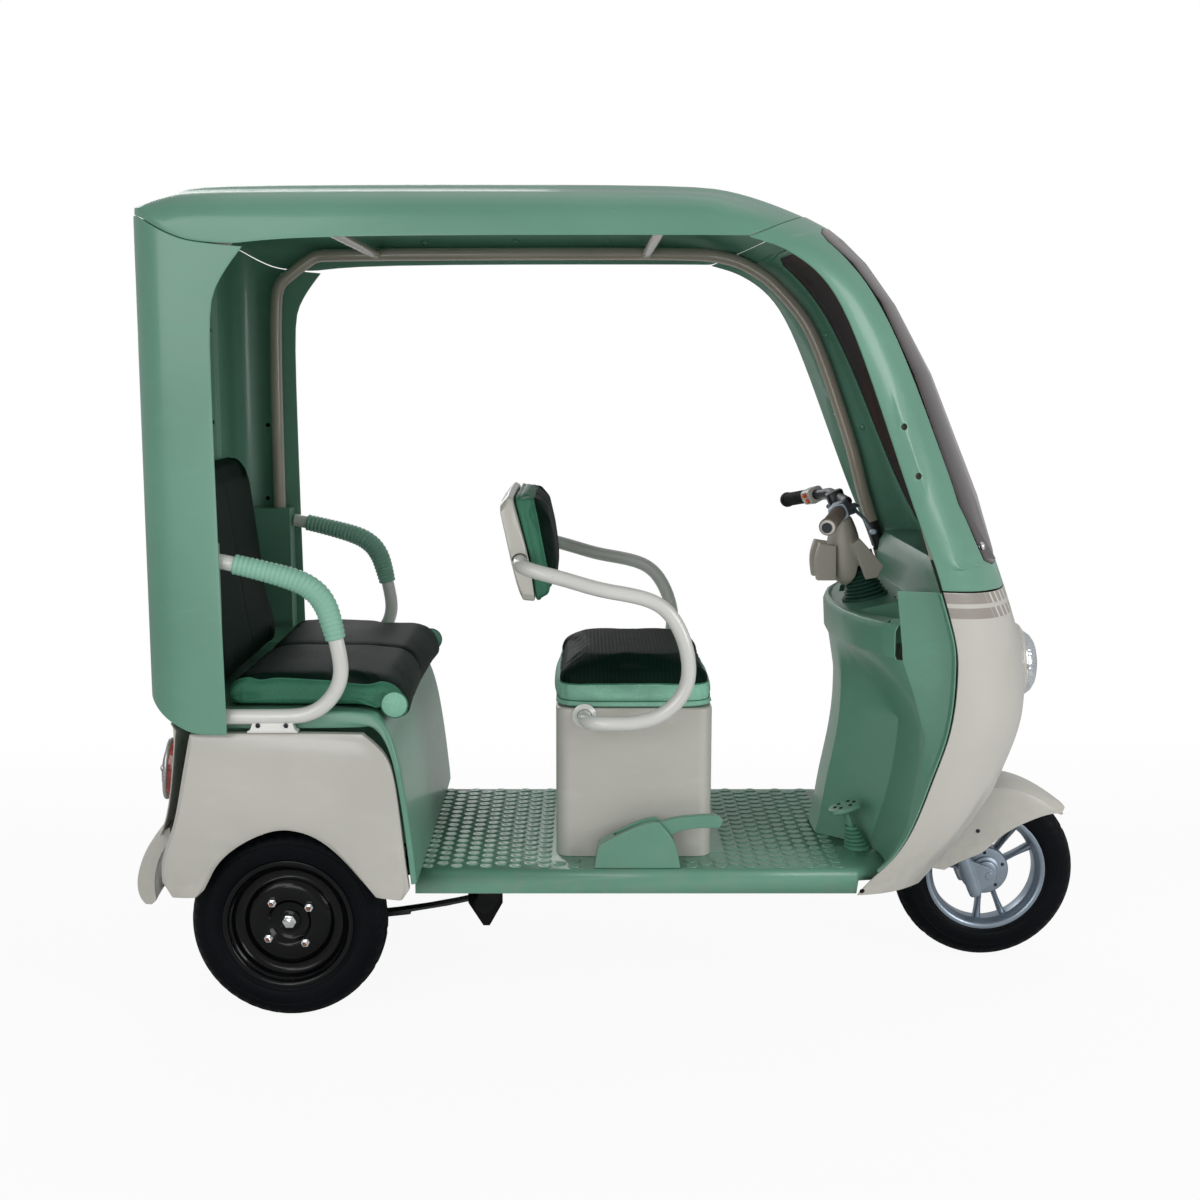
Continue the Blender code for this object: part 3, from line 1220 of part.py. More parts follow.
def make_roof_frame():
    """Two bent side tubes from the rear boxes to the dashboard, tied by two cross tubes under the roof."""
    tubes = []
    for side, word in SIDES:
        route = [(x, side * y, z) for x, y, z in ROOF_TUBE_LINE]
        tubes.append(sweep(f"roof_tube_{word}", route, circle(TUBE_RADIUS, 8), TAUPE, up=(0, 1, 0)))
    for x in (-0.62, 0.06):
        tubes.append(bar(f"roof_cross_{x:.2f}", (x, -0.44, 1.6685), (x, 0.44, 1.6685), 0.0125, TAUPE, 6))
    frame = fuse(tubes[0], *tubes[1:])
    frame.name = "roof_frame"
    return frame


# Steering column, bar and controls
BAR_RADIUS = 0.011
BAR_BEND = Vector((0.490, 0.130, 1.093))
BAR_END = Vector((0.4115, 0.352, 1.056))
GRIP_START = 0.113
POD_PLACE = 0.0885
LEVER_PIVOT = (-0.042, 0.020, -0.012)
BOOT_BASE_X = 0.557
BOOT_TOP = Vector((0.540, 0.0, 0.925))
BOOT_RIBS = ((0.0, 0.0535), (0.08, 0.0535), (0.14, 0.045), (0.24, 0.049), (0.32, 0.036), (0.42, 0.0385),
             (0.52, 0.032), (0.64, 0.0345), (0.76, 0.029), (0.90, 0.032), (1.0, 0.029), (1.0, 0.0185),
             (0.0, 0.0265))
COWL_RINGS = ((0.740, 0.022, 0.026, -0.022), (0.755, 0.036, 0.040, -0.0235),
              (0.780, 0.042, 0.048, -0.0235),
              (0.820, 0.043, 0.050, -0.017), (0.858, 0.036, 0.046, -0.007), (0.884, 0.026, 0.036, 0.0),
              (0.895, 0.014, 0.020, 0.002))
COWL_WINGS = (((0.4295, 0.952), (0.437, 0.905), (0.481, 0.905), (0.480, 0.985), (0.442, 0.991)),
              ((0.534, 1.0015), (0.515, 0.990), (0.548, 0.907), (0.576, 0.912), (0.589, 0.940)))
PEDAL_PAD = Vector((0.4927, -0.180, 0.407))
PEDAL_AXIS = Vector((0.300, 0.0, -0.954)).normalized()
HANDBRAKE_Y = -0.307
HANDBRAKE_PIVOT = Vector((0.020, HANDBRAKE_Y, 0.352))


def bar_frame(side):
    """Start, heading, forward and up directions of the straight half of the handlebar."""
    bend = Vector((BAR_BEND.x, side * BAR_BEND.y, BAR_BEND.z))
    end = Vector((BAR_END.x, side * BAR_END.y, BAR_END.z))
    heading = (end - bend).normalized()
    level = Vector((bend.x - end.x, 0.0, bend.z - end.z)).normalized()
    forward = (level - heading * level.dot(heading)).normalized()
    up = Vector((-level.z, 0.0, level.x))
    return bend, heading, forward, up


def on_bar(side, reach, forward=0.0, up=0.0, start=POD_PLACE):
    """Point in the frame of a switch pod: outwards along the bar, forwards and up."""
    bend, heading, ahead, over = bar_frame(side)
    return bend + heading * (start + reach) + ahead * forward + over * up


def make_handlebar():
    """Bent bar with the clamp that joins it to the stem."""
    ends = [Vector((BAR_END.x, side * BAR_END.y, BAR_END.z)) for side, _ in SIDES]
    bends = [Vector((BAR_BEND.x, side * BAR_BEND.y, BAR_BEND.z)) for side, _ in SIDES]
    tube = pipe("handlebar", [ends[0], bends[0], bends[1], ends[1]], BAR_RADIUS, STEEL, bend=0.05,
                up=(0, 0, 1))
    clamp = sweep("bar_clamp", [on_steering(0.9223, ahead=0.006), on_steering(0.954, ahead=0.006)],
                  square(0.044, 0.040), STEEL, up=(0, 1, 0))
    return fuse(tube, clamp)


def make_grip(side, name):
    """Rubber grip with a flared end."""
    _, heading, _, _ = bar_frame(side)
    profile = [(0.0117, 0.0), (0.0155, 0.0), (0.0168, 0.010), (0.0165, 0.104), (0.0188, 0.110),
               (0.0188, 0.118),
               (0.0117, 0.120)]
    return turned(name, profile, on_bar(side, 0.0, start=GRIP_START), heading, GRIP, 12)


def bar_box(side, name, low, high, material):
    """Block in the frame of a switch pod."""
    corners = [on_bar(side, reach, ahead, up) for up in (low[2], high[2])
               for reach, ahead in ((low[0], low[1]), (high[0], low[1]), (high[0], high[1]),
                                    (low[0], high[1]))]
    return loft(name, [corners[:4], corners[4:]], material)


def lever_axis(side):
    """Hinge axis of a brake lever, square to the plane of the lever and the grip."""
    _, _, forward, up = bar_frame(side)
    return (forward * 0.69 + up * 0.724).normalized()


def make_switch_pod(side, word):
    """Switch housing clamped on the bar, with seats for its switches and the brake lever's perch."""
    section = rounded_box(0.044, 0.038, 0.011, 2)
    rings = [[on_bar(side, reach, a * grow, b * grow) for a, b in section]
             for reach, grow in ((-0.021, 0.90), (-0.018, 1.0), (0.017, 1.0), (0.021, 0.94))]
    body = loft(f"switch_pod_{word}", rings, STEEL)
    hinge = lever_axis(side)
    pivot_point = Vector(LEVER_PIVOT)
    root = Vector((-0.006, 0.012, -0.006))
    reach = pivot_point - root
    tip = pivot_point + reach.normalized() * 0.008
    perch = sweep(f"perch_{word}", [on_bar(side, *root), on_bar(side, *tip)], square(0.015, 0.019), STEEL,
                  up=hinge)
    mouth = pivot_point - reach.normalized() * 0.0185
    slot = sweep(f"perch_slot_{word}", [on_bar(side, *mouth),
                                        on_bar(side, *(tip + reach.normalized() * 0.02))],
                 square(0.060, 0.0105), STEEL, up=hinge)
    bore = sweep(f"pod_bore_{word}", [on_bar(side, -0.05), on_bar(side, 0.05)],
                 circle(BAR_RADIUS + 0.0012, 10),
                 STEEL, up=(0, 0, 1))
    seats = []
    if side > 0:
        seats.append(bar(f"horn_seat_{word}", on_bar(side, -0.008, -0.0137, -0.006),
                         on_bar(side, -0.008, -0.03, -0.006),
                         0.0066, STEEL, 10))
        seats.append(bar_box(side, f"turn_seat_{word}", (-0.013, -0.03, 0.0035), (0.012, -0.0165, 0.0125),
                             STEEL))
    else:
        seats.append(bar_box(side, f"lamp_seat_{word}", (-0.013, -0.03, -0.004), (0.011, -0.0165, 0.0045),
                             STEEL))
    return cut(fuse(body, cut(perch, slot)), bore, *seats)


def make_brake_lever(side, word):
    """Brake lever with a ball end, on the pin of its perch."""
    points = [LEVER_PIVOT, (-0.024, 0.028, -0.0225), (-0.0065, 0.0384, -0.0316), (0.035, 0.0535, -0.044),
              (0.066, 0.0640, -0.0535), (0.0705, 0.0655, -0.0550), (0.076, 0.0675, -0.0565)]
    sizes = (0.65, 0.65, 0.75, 0.85, 0.95, 1.45, 0.8)
    inner, outer = Vector(points[0]), Vector(points[1])
    points[0] = tuple(inner - (outer - inner).normalized() * 0.006)
    route = [on_bar(side, *point) for point in points]
    pinned = sweep(f"brake_lever_{word}", route, circle(0.0060, 6, 0.72), ALLOY, up=lever_axis(side),
                   size=lambda share: sizes[round(share * (len(sizes) - 1))])
    return pivot(pinned, on_bar(side, *LEVER_PIVOT))


def make_switches():
    """Horn button and turn switch on the left pod, lamp switch on the right pod."""
    horn = bar("horn_button", on_bar(1, -0.008, -0.0166, -0.006), on_bar(1, -0.008, -0.0262, -0.006),
               0.0060, ORANGE, 8)
    pivot(horn, on_bar(1, -0.008, -0.0166, -0.006))
    turn_switch = bar_box(1, "turn_switch", (-0.0065, -0.0265, 0.0042), (0.0055, -0.0170, 0.0118), ORANGE)
    pivot(turn_switch, on_bar(1, -0.0005, -0.0170, 0.008))
    lamp_switch = bar_box(-1, "lamp_switch", (-0.0125, -0.0262, -0.0033), (0.0005, -0.0170, 0.0038),
                          ORANGE)
    pivot(lamp_switch, on_bar(-1, -0.006, -0.0170, 0.0))


def make_cowl():
    """Egg-shaped column cowl with a wing fore and aft, open below round the boot."""
    rings = []
    for distance, deep, wide, ahead in COWL_RINGS:
        rings.append([on_steering(distance, wide * b, ahead + deep * a) for a, b in circle(1.0, 14)])
    body = loft("bar_cowl", rings, CREAM)
    wings = [prism(f"cowl_wing_{number}_{word}", outline, side * 0.040 - 0.014, side * 0.040 + 0.014,
                   CREAM)
             for number, outline in enumerate(COWL_WINGS) for side, word in SIDES]
    pocket = bar("cowl_pocket", on_steering(0.70), on_steering(0.775), 0.0415, CREAM, 12)
    bore = bar("cowl_bore", on_steering(0.70), on_steering(0.95), STEM_RADIUS + 0.0015, CREAM, 12)
    return cut(fuse(body, *wings), pocket, bore)


def make_steering_boot():
    """Ribbed boot from the dashboard's shelf up round the steering stem."""
    base = Vector((BOOT_BASE_X, 0.0, shelf_z(BOOT_BASE_X) + GAP))
    sides = 14
    rings = []
    for step in range(sides):
        turn = math.tau * step / sides
        ring = []
        for share, radius in BOOT_RIBS:
            up = shelf_normal().lerp(STEER_UP, share).normalized()
            forward = Vector((up.z, 0.0, -up.x))
            ring.append(base.lerp(BOOT_TOP, share) + forward * (radius * math.cos(turn))
                        + Vector((0.0, radius * math.sin(turn), 0.0)))
        rings.append(ring)
    return loft("steering_boot", rings, GREEN, closed=True)


def make_ignition_lock():
    """Key lock in the dashboard's shelf, with its key slot."""
    x, y = LOCK_PLACE
    seat = Vector((x, y, shelf_z(x)))
    profile = [(0.0, -0.024), (0.0115, -0.024), (0.0115, GAP), (0.016, GAP), (0.016, 0.003),
               (0.0125, 0.0055), (0.0, 0.0055)]
    lock = turned("ignition_lock", profile, seat, shelf_normal(), CHROME, 10)
    slot = sweep("key_slot", [seat - shelf_normal() * 0.010, seat + shelf_normal() * 0.010],
                 square(0.0024, 0.0100),
                 CHROME, up=(0, 1, 0))
    return pivot(cut(lock, slot), seat)


# Foot and hand brakes
def make_handbrake():
    """Parking brake: slotted cover on the floor and the lever that swings up out of it."""
    cover = prism("handbrake_base", ((-0.074, FLOOR_TOP + GAP), (-0.066, 0.360), (-0.058, 0.368),
                                     (0.035, 0.415),
                                     (0.064, 0.4155), (0.070, 0.412), (0.103, 0.371),
                                     (0.114, FLOOR_TOP + GAP)),
                  HANDBRAKE_Y - 0.025, HANDBRAKE_Y + 0.025, GREEN)
    slot = prism("handbrake_slot", ((-0.030, 0.29), (-0.030, 0.45), (0.15, 0.45), (0.15, 0.3385),
                                    (0.060, 0.3385),
                                    (0.060, 0.29)), HANDBRAKE_Y - 0.0125, HANDBRAKE_Y + 0.0125, GREEN)
    cut(cover, slot)
    outline = ((0.012, 0.343), (0.030, 0.343), (0.060, 0.360), (0.098, 0.385), (0.113, 0.392),
               (0.150, 0.398),
               (0.199, 0.398), (0.207, 0.414), (0.190, 0.4275), (0.130, 0.425), (0.080, 0.417),
               (0.045, 0.398),
               (0.012, 0.364))
    lever = prism("handbrake_lever", outline, HANDBRAKE_Y - 0.0100, HANDBRAKE_Y + 0.0100, GREEN)
    return cover, pivot(lever, HANDBRAKE_PIVOT)


def make_brake_pedal():
    """Foot brake: a round-cornered pad on a rod that slides down through the floor."""
    across = Vector((PEDAL_AXIS.z, 0.0, -PEDAL_AXIS.x))
    outline = rounded_box(0.076, 0.066, 0.026, 2)
    rings = [[PEDAL_PAD + PEDAL_AXIS * reach + across * (a * grow) + Vector((0, b * grow, 0)) for a,
              b in outline]
             for reach, grow in ((-0.006, 0.93), (-0.003, 1.0), (0.004, 1.0), (0.006, 0.9))]
    pad = loft("brake_pedal", rings, BLACK)
    rod = sweep("pedal_rod", [PEDAL_PAD, PEDAL_PAD + PEDAL_AXIS * 0.128], circle(0.0085, 8), STEEL,
                up=(0, 1, 0))
    return pivot(fuse(pad, rod), PEDAL_PAD)


def make_pedal_boot():
    """Ribbed boot round the pedal rod, standing on the floor."""
    levels = ((GAP, 0.0290), (0.006, 0.0290), (0.011, 0.0215), (0.017, 0.0250), (0.022, 0.0185),
              (0.028, 0.0220),
              (0.033, 0.0160), (0.039, 0.0190), (0.044, 0.0140), (0.052, 0.0155), (0.052, 0.0105),
              (GAP, 0.0130))
    rings = []
    for step in range(12):
        turn = math.tau * step / 12
        ring = []
        for height, radius in levels:
            z = FLOOR_TOP + height
            middle = PEDAL_PAD + PEDAL_AXIS * ((z - PEDAL_PAD.z) / PEDAL_AXIS.z)
            ring.append(middle + Vector((radius * math.cos(turn), radius * math.sin(turn), 0.0)))
        rings.append(ring)
    return loft("pedal_boot", rings, BLACK, closed=True)


def build():
    """Make every piece of the tricycle."""
    make_surround()
    make_windshield()
    make_apron()
    make_headlamp()
    make_roof()
    make_rear_wall()
    make_leg_shield()
    make_dashboard()
    make_floor()
    make_seat_base()
    make_rear_bumper()
    make_chassis()
    make_battery()
    make_rear_axle()
    make_front_rim()
    make_tyre("front_tyre", (FRONT_AXLE_X, 0, AXLE_HEIGHT), 0.0425)
    make_steering_fork()
    make_fork_lowers()
    make_front_fender()
    make_seat_box()
    make_driver_cushion()
    make_backrest_shell()
    make_backrest_pad()
    make_rear_cushion()
    make_rear_pad()
    make_arm_frame()
    make_roof_frame()
    make_handlebar()
    make_grip(-1, "throttle_grip")
    make_grip(1, "grip_left")
    make_switches()
    make_cowl()
    make_steering_boot()
    make_ignition_lock()
    make_handbrake()
    make_brake_pedal()
    make_pedal_boot()
    for side, word in SIDES:
        make_side_panel(side, word)
        make_rear_fender(side, word)
        make_tail_lamp(side, word)
        make_leaf_spring(side, word)
        make_rear_rim(side, word)
        make_tyre(f"rear_tyre_{word}", (REAR_AXLE_X, side * REAR_TRACK_HALF, AXLE_HEIGHT), 0.045)
        make_armrest(side, word)
        make_sleeve(side, word)
        make_switch_pod(side, word)
        make_brake_lever(side, word)


build()
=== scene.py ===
"""Looks of an electric passenger tricycle with a moulded roof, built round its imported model."""
import json
import math

import bmesh
import bpy
from mathutils import Matrix, Vector


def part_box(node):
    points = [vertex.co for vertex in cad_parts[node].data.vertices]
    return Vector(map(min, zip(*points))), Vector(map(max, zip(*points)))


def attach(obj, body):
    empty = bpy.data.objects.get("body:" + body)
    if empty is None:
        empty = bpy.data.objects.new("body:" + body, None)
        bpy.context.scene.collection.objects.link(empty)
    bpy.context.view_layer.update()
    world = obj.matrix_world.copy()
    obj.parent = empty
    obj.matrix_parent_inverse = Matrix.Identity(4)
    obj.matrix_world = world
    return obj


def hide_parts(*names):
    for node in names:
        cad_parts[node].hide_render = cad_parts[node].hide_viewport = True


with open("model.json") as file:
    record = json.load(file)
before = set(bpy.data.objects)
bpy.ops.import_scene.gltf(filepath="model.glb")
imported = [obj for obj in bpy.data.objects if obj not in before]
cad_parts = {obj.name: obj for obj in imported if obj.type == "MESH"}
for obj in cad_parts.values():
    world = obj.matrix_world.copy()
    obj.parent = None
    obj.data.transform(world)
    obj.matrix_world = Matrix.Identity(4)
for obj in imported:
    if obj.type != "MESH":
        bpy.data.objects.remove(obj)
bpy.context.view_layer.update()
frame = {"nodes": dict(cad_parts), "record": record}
NODES = frame["nodes"]
SIDES = ((-1, "right"), (1, "left"))
FRONT_HUB = Vector((0.8515, 0.0, 0.210))
REAR_AXLE = Vector((-0.7291, 0.0, 0.210))
HALF_TRACK = 0.3617
BODY = {node: body for body, nodes in frame["record"]["behaviour"]["bodies"].items() for node in nodes}


# Node wires and finishes
class Wire:
    """A shader or geometry node output that can be used in sums."""

    def __init__(self, tree, socket):
        self.tree = tree
        self.socket = socket

    def math(self, operation, *others):
        """Math node of this value and the others."""
        node = self.tree.nodes.new("ShaderNodeMath")
        node.operation = operation
        for slot, value in zip(node.inputs, (self, *others)):
            plug(self.tree, slot, value)
        return Wire(self.tree, node.outputs[0])

    def __add__(self, other):
        return self.math("ADD", other)

    def __radd__(self, other):
        return self.math("ADD", other)

    def __sub__(self, other):
        return self.math("SUBTRACT", other)

    def __rsub__(self, other):
        return (self * -1.0).math("ADD", other)

    def __mul__(self, other):
        return self.math("MULTIPLY", other)

    def __pow__(self, other):
        return self.math("POWER", other)

    def step(self, low, high):
        """Smooth step from 0 at low to 1 at high."""
        node = self.tree.nodes.new("ShaderNodeMapRange")
        node.interpolation_type = "SMOOTHSTEP"
        plug(self.tree, node.inputs[0], self)
        node.inputs[1].default_value = low
        node.inputs[2].default_value = high
        return Wire(self.tree, node.outputs[0])

    def band(self, low, high, soft=0.0008):
        """1 between low and high, 0 outside."""
        return self.step(low - soft, low + soft) * (1.0 - self.step(high - soft, high + soft))


def plug(tree, slot, value):
    """Link a wire to a socket or set the socket's own value."""
    if isinstance(value, Wire):
        tree.links.new(value.socket, slot)
    else:
        slot.default_value = value


def make_node(tree, kind, settings=None, inputs=None, output=0):
    """New node with its settings made first and then its inputs filled."""
    node = tree.nodes.new(kind)
    for name, value in (settings or {}).items():
        setattr(node, name, value)
    for key, value in (inputs or {}).items():
        plug(tree, node.inputs[key], value)
    return Wire(tree, node.outputs[output])


def split_axes(tree):
    """X, Y and Z of the object coordinates."""
    node = tree.nodes.new("ShaderNodeSeparateXYZ")
    plug(tree, node.inputs[0], make_node(tree, "ShaderNodeTexCoord", output=3))
    return [Wire(tree, output) for output in node.outputs]


def srgb(red, green, blue):
    """Linear colour of an 8-bit display colour."""
    values = []
    for level in (red, green, blue):
        share = level / 255.0
        values.append(share / 12.92 if share <= 0.04045 else ((share + 0.055) / 1.055) ** 2.4)
    return (*values, 1.0)


class Finish:
    """A procedural material under construction."""

    def __init__(self, name, colour, roughness, **constants):
        self.material = bpy.data.materials.new(name)
        self.material.use_nodes = True
        self.tree = self.material.node_tree
        self.shader = self.tree.nodes["Principled BSDF"]
        self.shader.inputs["Base Color"].default_value = colour
        self.shader.inputs["Roughness"].default_value = roughness
        for key, value in constants.items():
            self.shader.inputs[key.replace("_", " ")].default_value = value
        self.material.diffuse_color = colour

    def make(self, kind, settings=None, inputs=None, output=0):
        """Node of any kind in this material."""
        return make_node(self.tree, kind, settings, inputs, output)

    def spot(self, scale=(1.0, 1.0, 1.0)):
        """Object coordinates, scaled."""
        place = self.make("ShaderNodeTexCoord", output=3)
        return self.make("ShaderNodeMapping", None, {"Vector": place, "Scale": scale})

    def axes(self):
        """The three object coordinates as numbers."""
        return split_axes(self.tree)

    def noise(self, scale, detail=2.0, stretch=(1.0, 1.0, 1.0), rough=0.5):
        """Soft noise value."""
        return self.make("ShaderNodeTexNoise", None, {"Vector": self.spot(stretch), "Scale": scale,
                                                      "Detail": detail, "Roughness": rough})

    def cells(self, scale, feature="F1"):
        """Cell pattern distance."""
        return self.make("ShaderNodeTexVoronoi", {"feature": feature},
                         {"Vector": self.spot(), "Scale": scale})

    def blend(self, mask, first, second):
        """Colour between two colours by a mask."""
        node = self.tree.nodes.new("ShaderNodeMix")
        node.data_type = "RGBA"
        plug(self.tree, node.inputs[0], mask)
        plug(self.tree, node.inputs[6], first)
        plug(self.tree, node.inputs[7], second)
        return Wire(self.tree, node.outputs[2])

    def paint(self, colour):
        """Set the base colour."""
        plug(self.tree, self.shader.inputs["Base Color"], colour)

    def roughen(self, value):
        """Set the roughness."""
        plug(self.tree, self.shader.inputs["Roughness"], value)

    def emboss(self, height, distance, strength=1.0):
        """Bump from a height value in metres of the given distance."""
        node = self.make("ShaderNodeBump", None, {"Strength": strength, "Distance": distance,
                                                  "Height": height})
        plug(self.tree, self.shader.inputs["Normal"], node)

    def clouded(self, colour):
        """Soft clouds, and the colour a little darker and lighter by them."""
        clouds = self.noise(2.3, 3.0)
        return clouds, self.blend(clouds.step(0.30, 0.70), tone(colour, 0.93), tone(colour, 1.06))

    def dust(self):
        """Patches of road dust that fade out at knee height."""
        return (1.0 - self.axes()[2].step(0.16, 0.46)) * self.noise(34.0, 4.0).step(0.42, 0.66)


def tone(colour, factor):
    """Colour made lighter or darker."""
    return tuple(min(1.0, level * factor) for level in colour[:3]) + (1.0,)


def moulded(name, colour, roughness, dirt=0.55, coat=0.0):
    """Moulded plastic: faint flow marks, fine grain, rubbed spots and some dust low down."""
    made = Finish(name, colour, roughness, Coat_Weight=coat, Coat_Roughness=0.12)
    clouds, shade = made.clouded(colour)
    rubbed = made.noise(9.0, 5.0, (1.0, 1.0, 2.6), 0.62).step(0.52, 0.72)
    dust = made.dust() * dirt
    made.paint(made.blend(dust * 0.40, made.blend(rubbed * 0.22, shade, tone(colour, 1.20)), DUST_TONE))
    made.roughen(roughness + (clouds - 0.5) * 0.10 + rubbed * 0.07 + dust * 0.22)
    made.emboss(made.noise(900.0, 2.0) * 0.6 + made.noise(60.0, 1.0) * 0.8, 0.00006)
    return made


DUST_TONE = srgb(150, 146, 132)
GREEN_TONE = srgb(101, 152, 131)
CREAM_TONE = srgb(196, 194, 186)
DARK_TONE = srgb(10, 30, 23)
green = moulded("green_moulding", GREEN_TONE, 0.36, coat=0.25)
pale_green = moulded("pale_green_sleeve", srgb(142, 194, 173), 0.48)
cream = moulded("cream_moulding", CREAM_TONE, 0.30, coat=0.35)
warm_grey = moulded("warm_grey_cowl", srgb(168, 163, 152), 0.42)


def leather(name, colour, ribbed=None, shine=0.05):
    """Coated fabric with pebbled grain, painted shade in its creases, comb grooves and rib valleys, and worn
    crowns.
    """
    made = Finish(name, colour, 0.60, Specular_IOR_Level=shine)
    pebbles = made.cells(310.0, "DISTANCE_TO_EDGE")
    # Creases of the grain: painted darker below as painted shade, and made rougher.
    creases = 1.0 - pebbles.step(0.0, 0.10)
    patches = made.noise(7.0, 4.0)
    base = made.blend(patches.step(0.30, 0.72), tone(colour, 0.80), tone(colour, 1.28))
    if ribbed is None:
        comb = made.cells(150.0, "DISTANCE_TO_EDGE").step(0.02, 0.14)
        # The grooves between the comb cells are painted darker: painted shade.
        base = made.blend((1.0 - comb) * 0.22, base, tone(colour, 0.60))
        height = pebbles.step(0.0, 0.12) * 0.35 + comb * 0.65
    else:
        x = made.axes()[0]
        wave = (x * (math.tau / ribbed)).math("SINE") * 0.5 + 0.5
        # The valleys between the ribs are painted much darker: painted shade.
        base = made.blend((1.0 - wave.step(0.0, 0.35)) * 0.55, base, tone(colour, 0.40))
        height = pebbles.step(0.0, 0.12) * 0.15 + wave * 0.85
    made.paint(made.blend(creases * 0.35, base, tone(colour, 0.50)))
    made.roughen(0.44 + patches * 0.16 + creases * 0.14)
    made.emboss(height, 0.0005, 0.7)
    return made


dark_leather = leather("dark_green_leather", DARK_TONE)
ribbed_leather = leather("ribbed_dark_leather", DARK_TONE, ribbed=0.0085)
# Mint leather is a painted sheen: the glare-lit look of the dark green leather on the driver cushion's side,
# over a lower band that is really mid green. The bench roll ends take it too.
mint_sheen_leather = leather("mint_sheen_leather", srgb(136, 192, 168), shine=0.4)


def painted(name, colour, roughness=0.24, worn=0.35, coat=0.4, shine=0.5):
    """Sprayed enamel: orange peel, small chips and scuffs."""
    made = Finish(name, colour, roughness, Coat_Weight=coat, Coat_Roughness=0.08, Specular_IOR_Level=shine)
    scuffs = made.noise(26.0, 5.0, (1.0, 1.0, 0.25)).step(0.60, 0.74) * worn
    chips = (1.0 - made.cells(55.0).step(0.05, 0.12)) * made.noise(11.0, 2.0).step(0.58, 0.66) * worn
    shade = made.blend(made.noise(5.0, 2.0).step(0.3, 0.7), tone(colour, 0.94), tone(colour, 1.04))
    scuffed = made.blend(scuffs * 0.35, shade, tone(colour, 0.72))
    made.paint(made.blend(chips * 0.8, scuffed, srgb(92, 88, 82)))
    made.roughen(roughness + scuffs * 0.25 + chips * 0.3)
    made.emboss(made.noise(210.0, 2.0), 0.00008)
    return made


white_paint = painted("white_enamel", srgb(222, 222, 218))
taupe_paint = painted("taupe_enamel", srgb(176, 166, 152))
black_paint = painted("black_enamel", srgb(5, 6, 8), 0.20, 0.08, coat=0.2, shine=0.15)


def metal(name, colour, roughness, weight=1.0):
    """Bare or plated metal with fine marks and slight tarnish."""
    made = Finish(name, colour, roughness, Metallic=weight)
    marks = made.noise(120.0, 3.0)
    tarnish = made.noise(14.0, 4.0).step(0.45, 0.75)
    made.paint(made.blend(tarnish * 0.5, colour, tone(colour, 0.68)))
    made.roughen(roughness + (marks - 0.5) * 0.16 + tarnish * 0.12)
    made.emboss(marks, 0.00005)
    return made


alloy = metal("cast_alloy", srgb(150, 163, 176), 0.34, weight=0.8)
chrome = metal("chrome_plate", srgb(226, 228, 230), 0.08)
steel = metal("dark_steel", srgb(60, 62, 66), 0.38, weight=0.9)
copper = metal("copper_stud", srgb(176, 110, 76), 0.30)


def rubbery(name, colour, roughness=0.62, dusty=0.5):
    """Rubber with bloom and dust in its grain."""
    made = Finish(name, colour, roughness, Specular_IOR_Level=0.25)
    bloom = made.noise(18.0, 5.0).step(0.40, 0.75)
    grit = made.noise(160.0, 3.0).step(0.45, 0.75)
    made.paint(made.blend(bloom * dusty * 0.5 + grit * dusty * 0.15, colour, tone(colour, 2.1)))
    made.roughen(roughness + bloom * 0.15)
    made.emboss(made.noise(700.0, 2.0), 0.00012)
    return made


grip_rubber = rubbery("taupe_rubber", srgb(118, 108, 98), 0.58, 0.3)
black_rubber = rubbery("black_rubber", srgb(10, 11, 13))
boot_rubber = rubbery("boot_rubber", srgb(44, 78, 66), 0.55, 0.3)
orange = moulded("orange_switch", srgb(240, 92, 44), 0.34)
black_plastic = moulded("black_moulding", srgb(30, 32, 34), 0.42, dirt=0.3)


def wheel_rubber(name, centre):
    """Tyre rubber with fine radial lines and two raised rings on its walls."""
    made = Finish(name, srgb(6, 9, 14), 0.52, Specular_IOR_Level=0.10)
    x, _, z = made.axes()
    across = x - centre.x
    up = z - centre.z
    radius = (across * across + up * up).math("SQRT")
    angle = up.math("ARCTAN2", across)
    lines = ((angle * 240.0).math("SINE") * 0.5 + 0.5) * radius.band(0.150, 0.176, 0.002)
    rings = radius.band(0.1775, 0.1790) + radius.band(0.1475, 0.1488)
    dust = made.noise(30.0, 5.0).step(0.46, 0.74) * radius.step(0.178, 0.206)
    film = made.noise(6.0, 3.0).step(0.35, 0.75)
    shade = made.blend(film * 0.6, srgb(3, 6, 11), srgb(10, 14, 20))
    made.paint(made.blend(dust * 0.16, shade, srgb(56, 56, 54)))
    made.roughen(0.46 + film * 0.16 + dust * 0.2)
    made.emboss(lines * 0.35 + rings * 0.65 + made.noise(420.0, 2.0) * 0.10, 0.0012, 0.9)
    return made


front_tyre_rubber = wheel_rubber("front_tyre_rubber", FRONT_HUB)
rear_tyre_rubber = wheel_rubber("rear_tyre_rubber", REAR_AXLE)


def striped_cream():
    """Cream moulding of the apron with two grey bands under the seam and slanted slashes in them."""
    made = Finish("striped_cream", CREAM_TONE, 0.30, Coat_Weight=0.35, Coat_Roughness=0.12)
    x, _, z = made.axes()
    seam = 0.932 - (x - 0.645) * (0.015 / 0.207)
    down = seam - z
    bands = down.band(0.004, 0.026) + down.band(0.035, 0.057)
    slant = x - down * 0.55
    slashes = (slant * (math.tau / 0.016)).math("SINE").step(0.45, 0.75) * slant.band(0.742, 0.828, 0.004)
    clouds, body = made.clouded(CREAM_TONE)
    dust = made.dust()
    body = made.blend(dust * 0.25, body, DUST_TONE)
    inked = made.blend(slashes, srgb(152, 146, 138), srgb(214, 211, 203))
    made.paint(made.blend(bands, body, inked))
    made.roughen(0.28 + (clouds - 0.5) * 0.10 + bands * 0.10 + dust * 0.15)
    made.emboss(made.noise(60.0, 1.0) + bands * 1.2, 0.00008)
    return made


apron_cream = striped_cream()


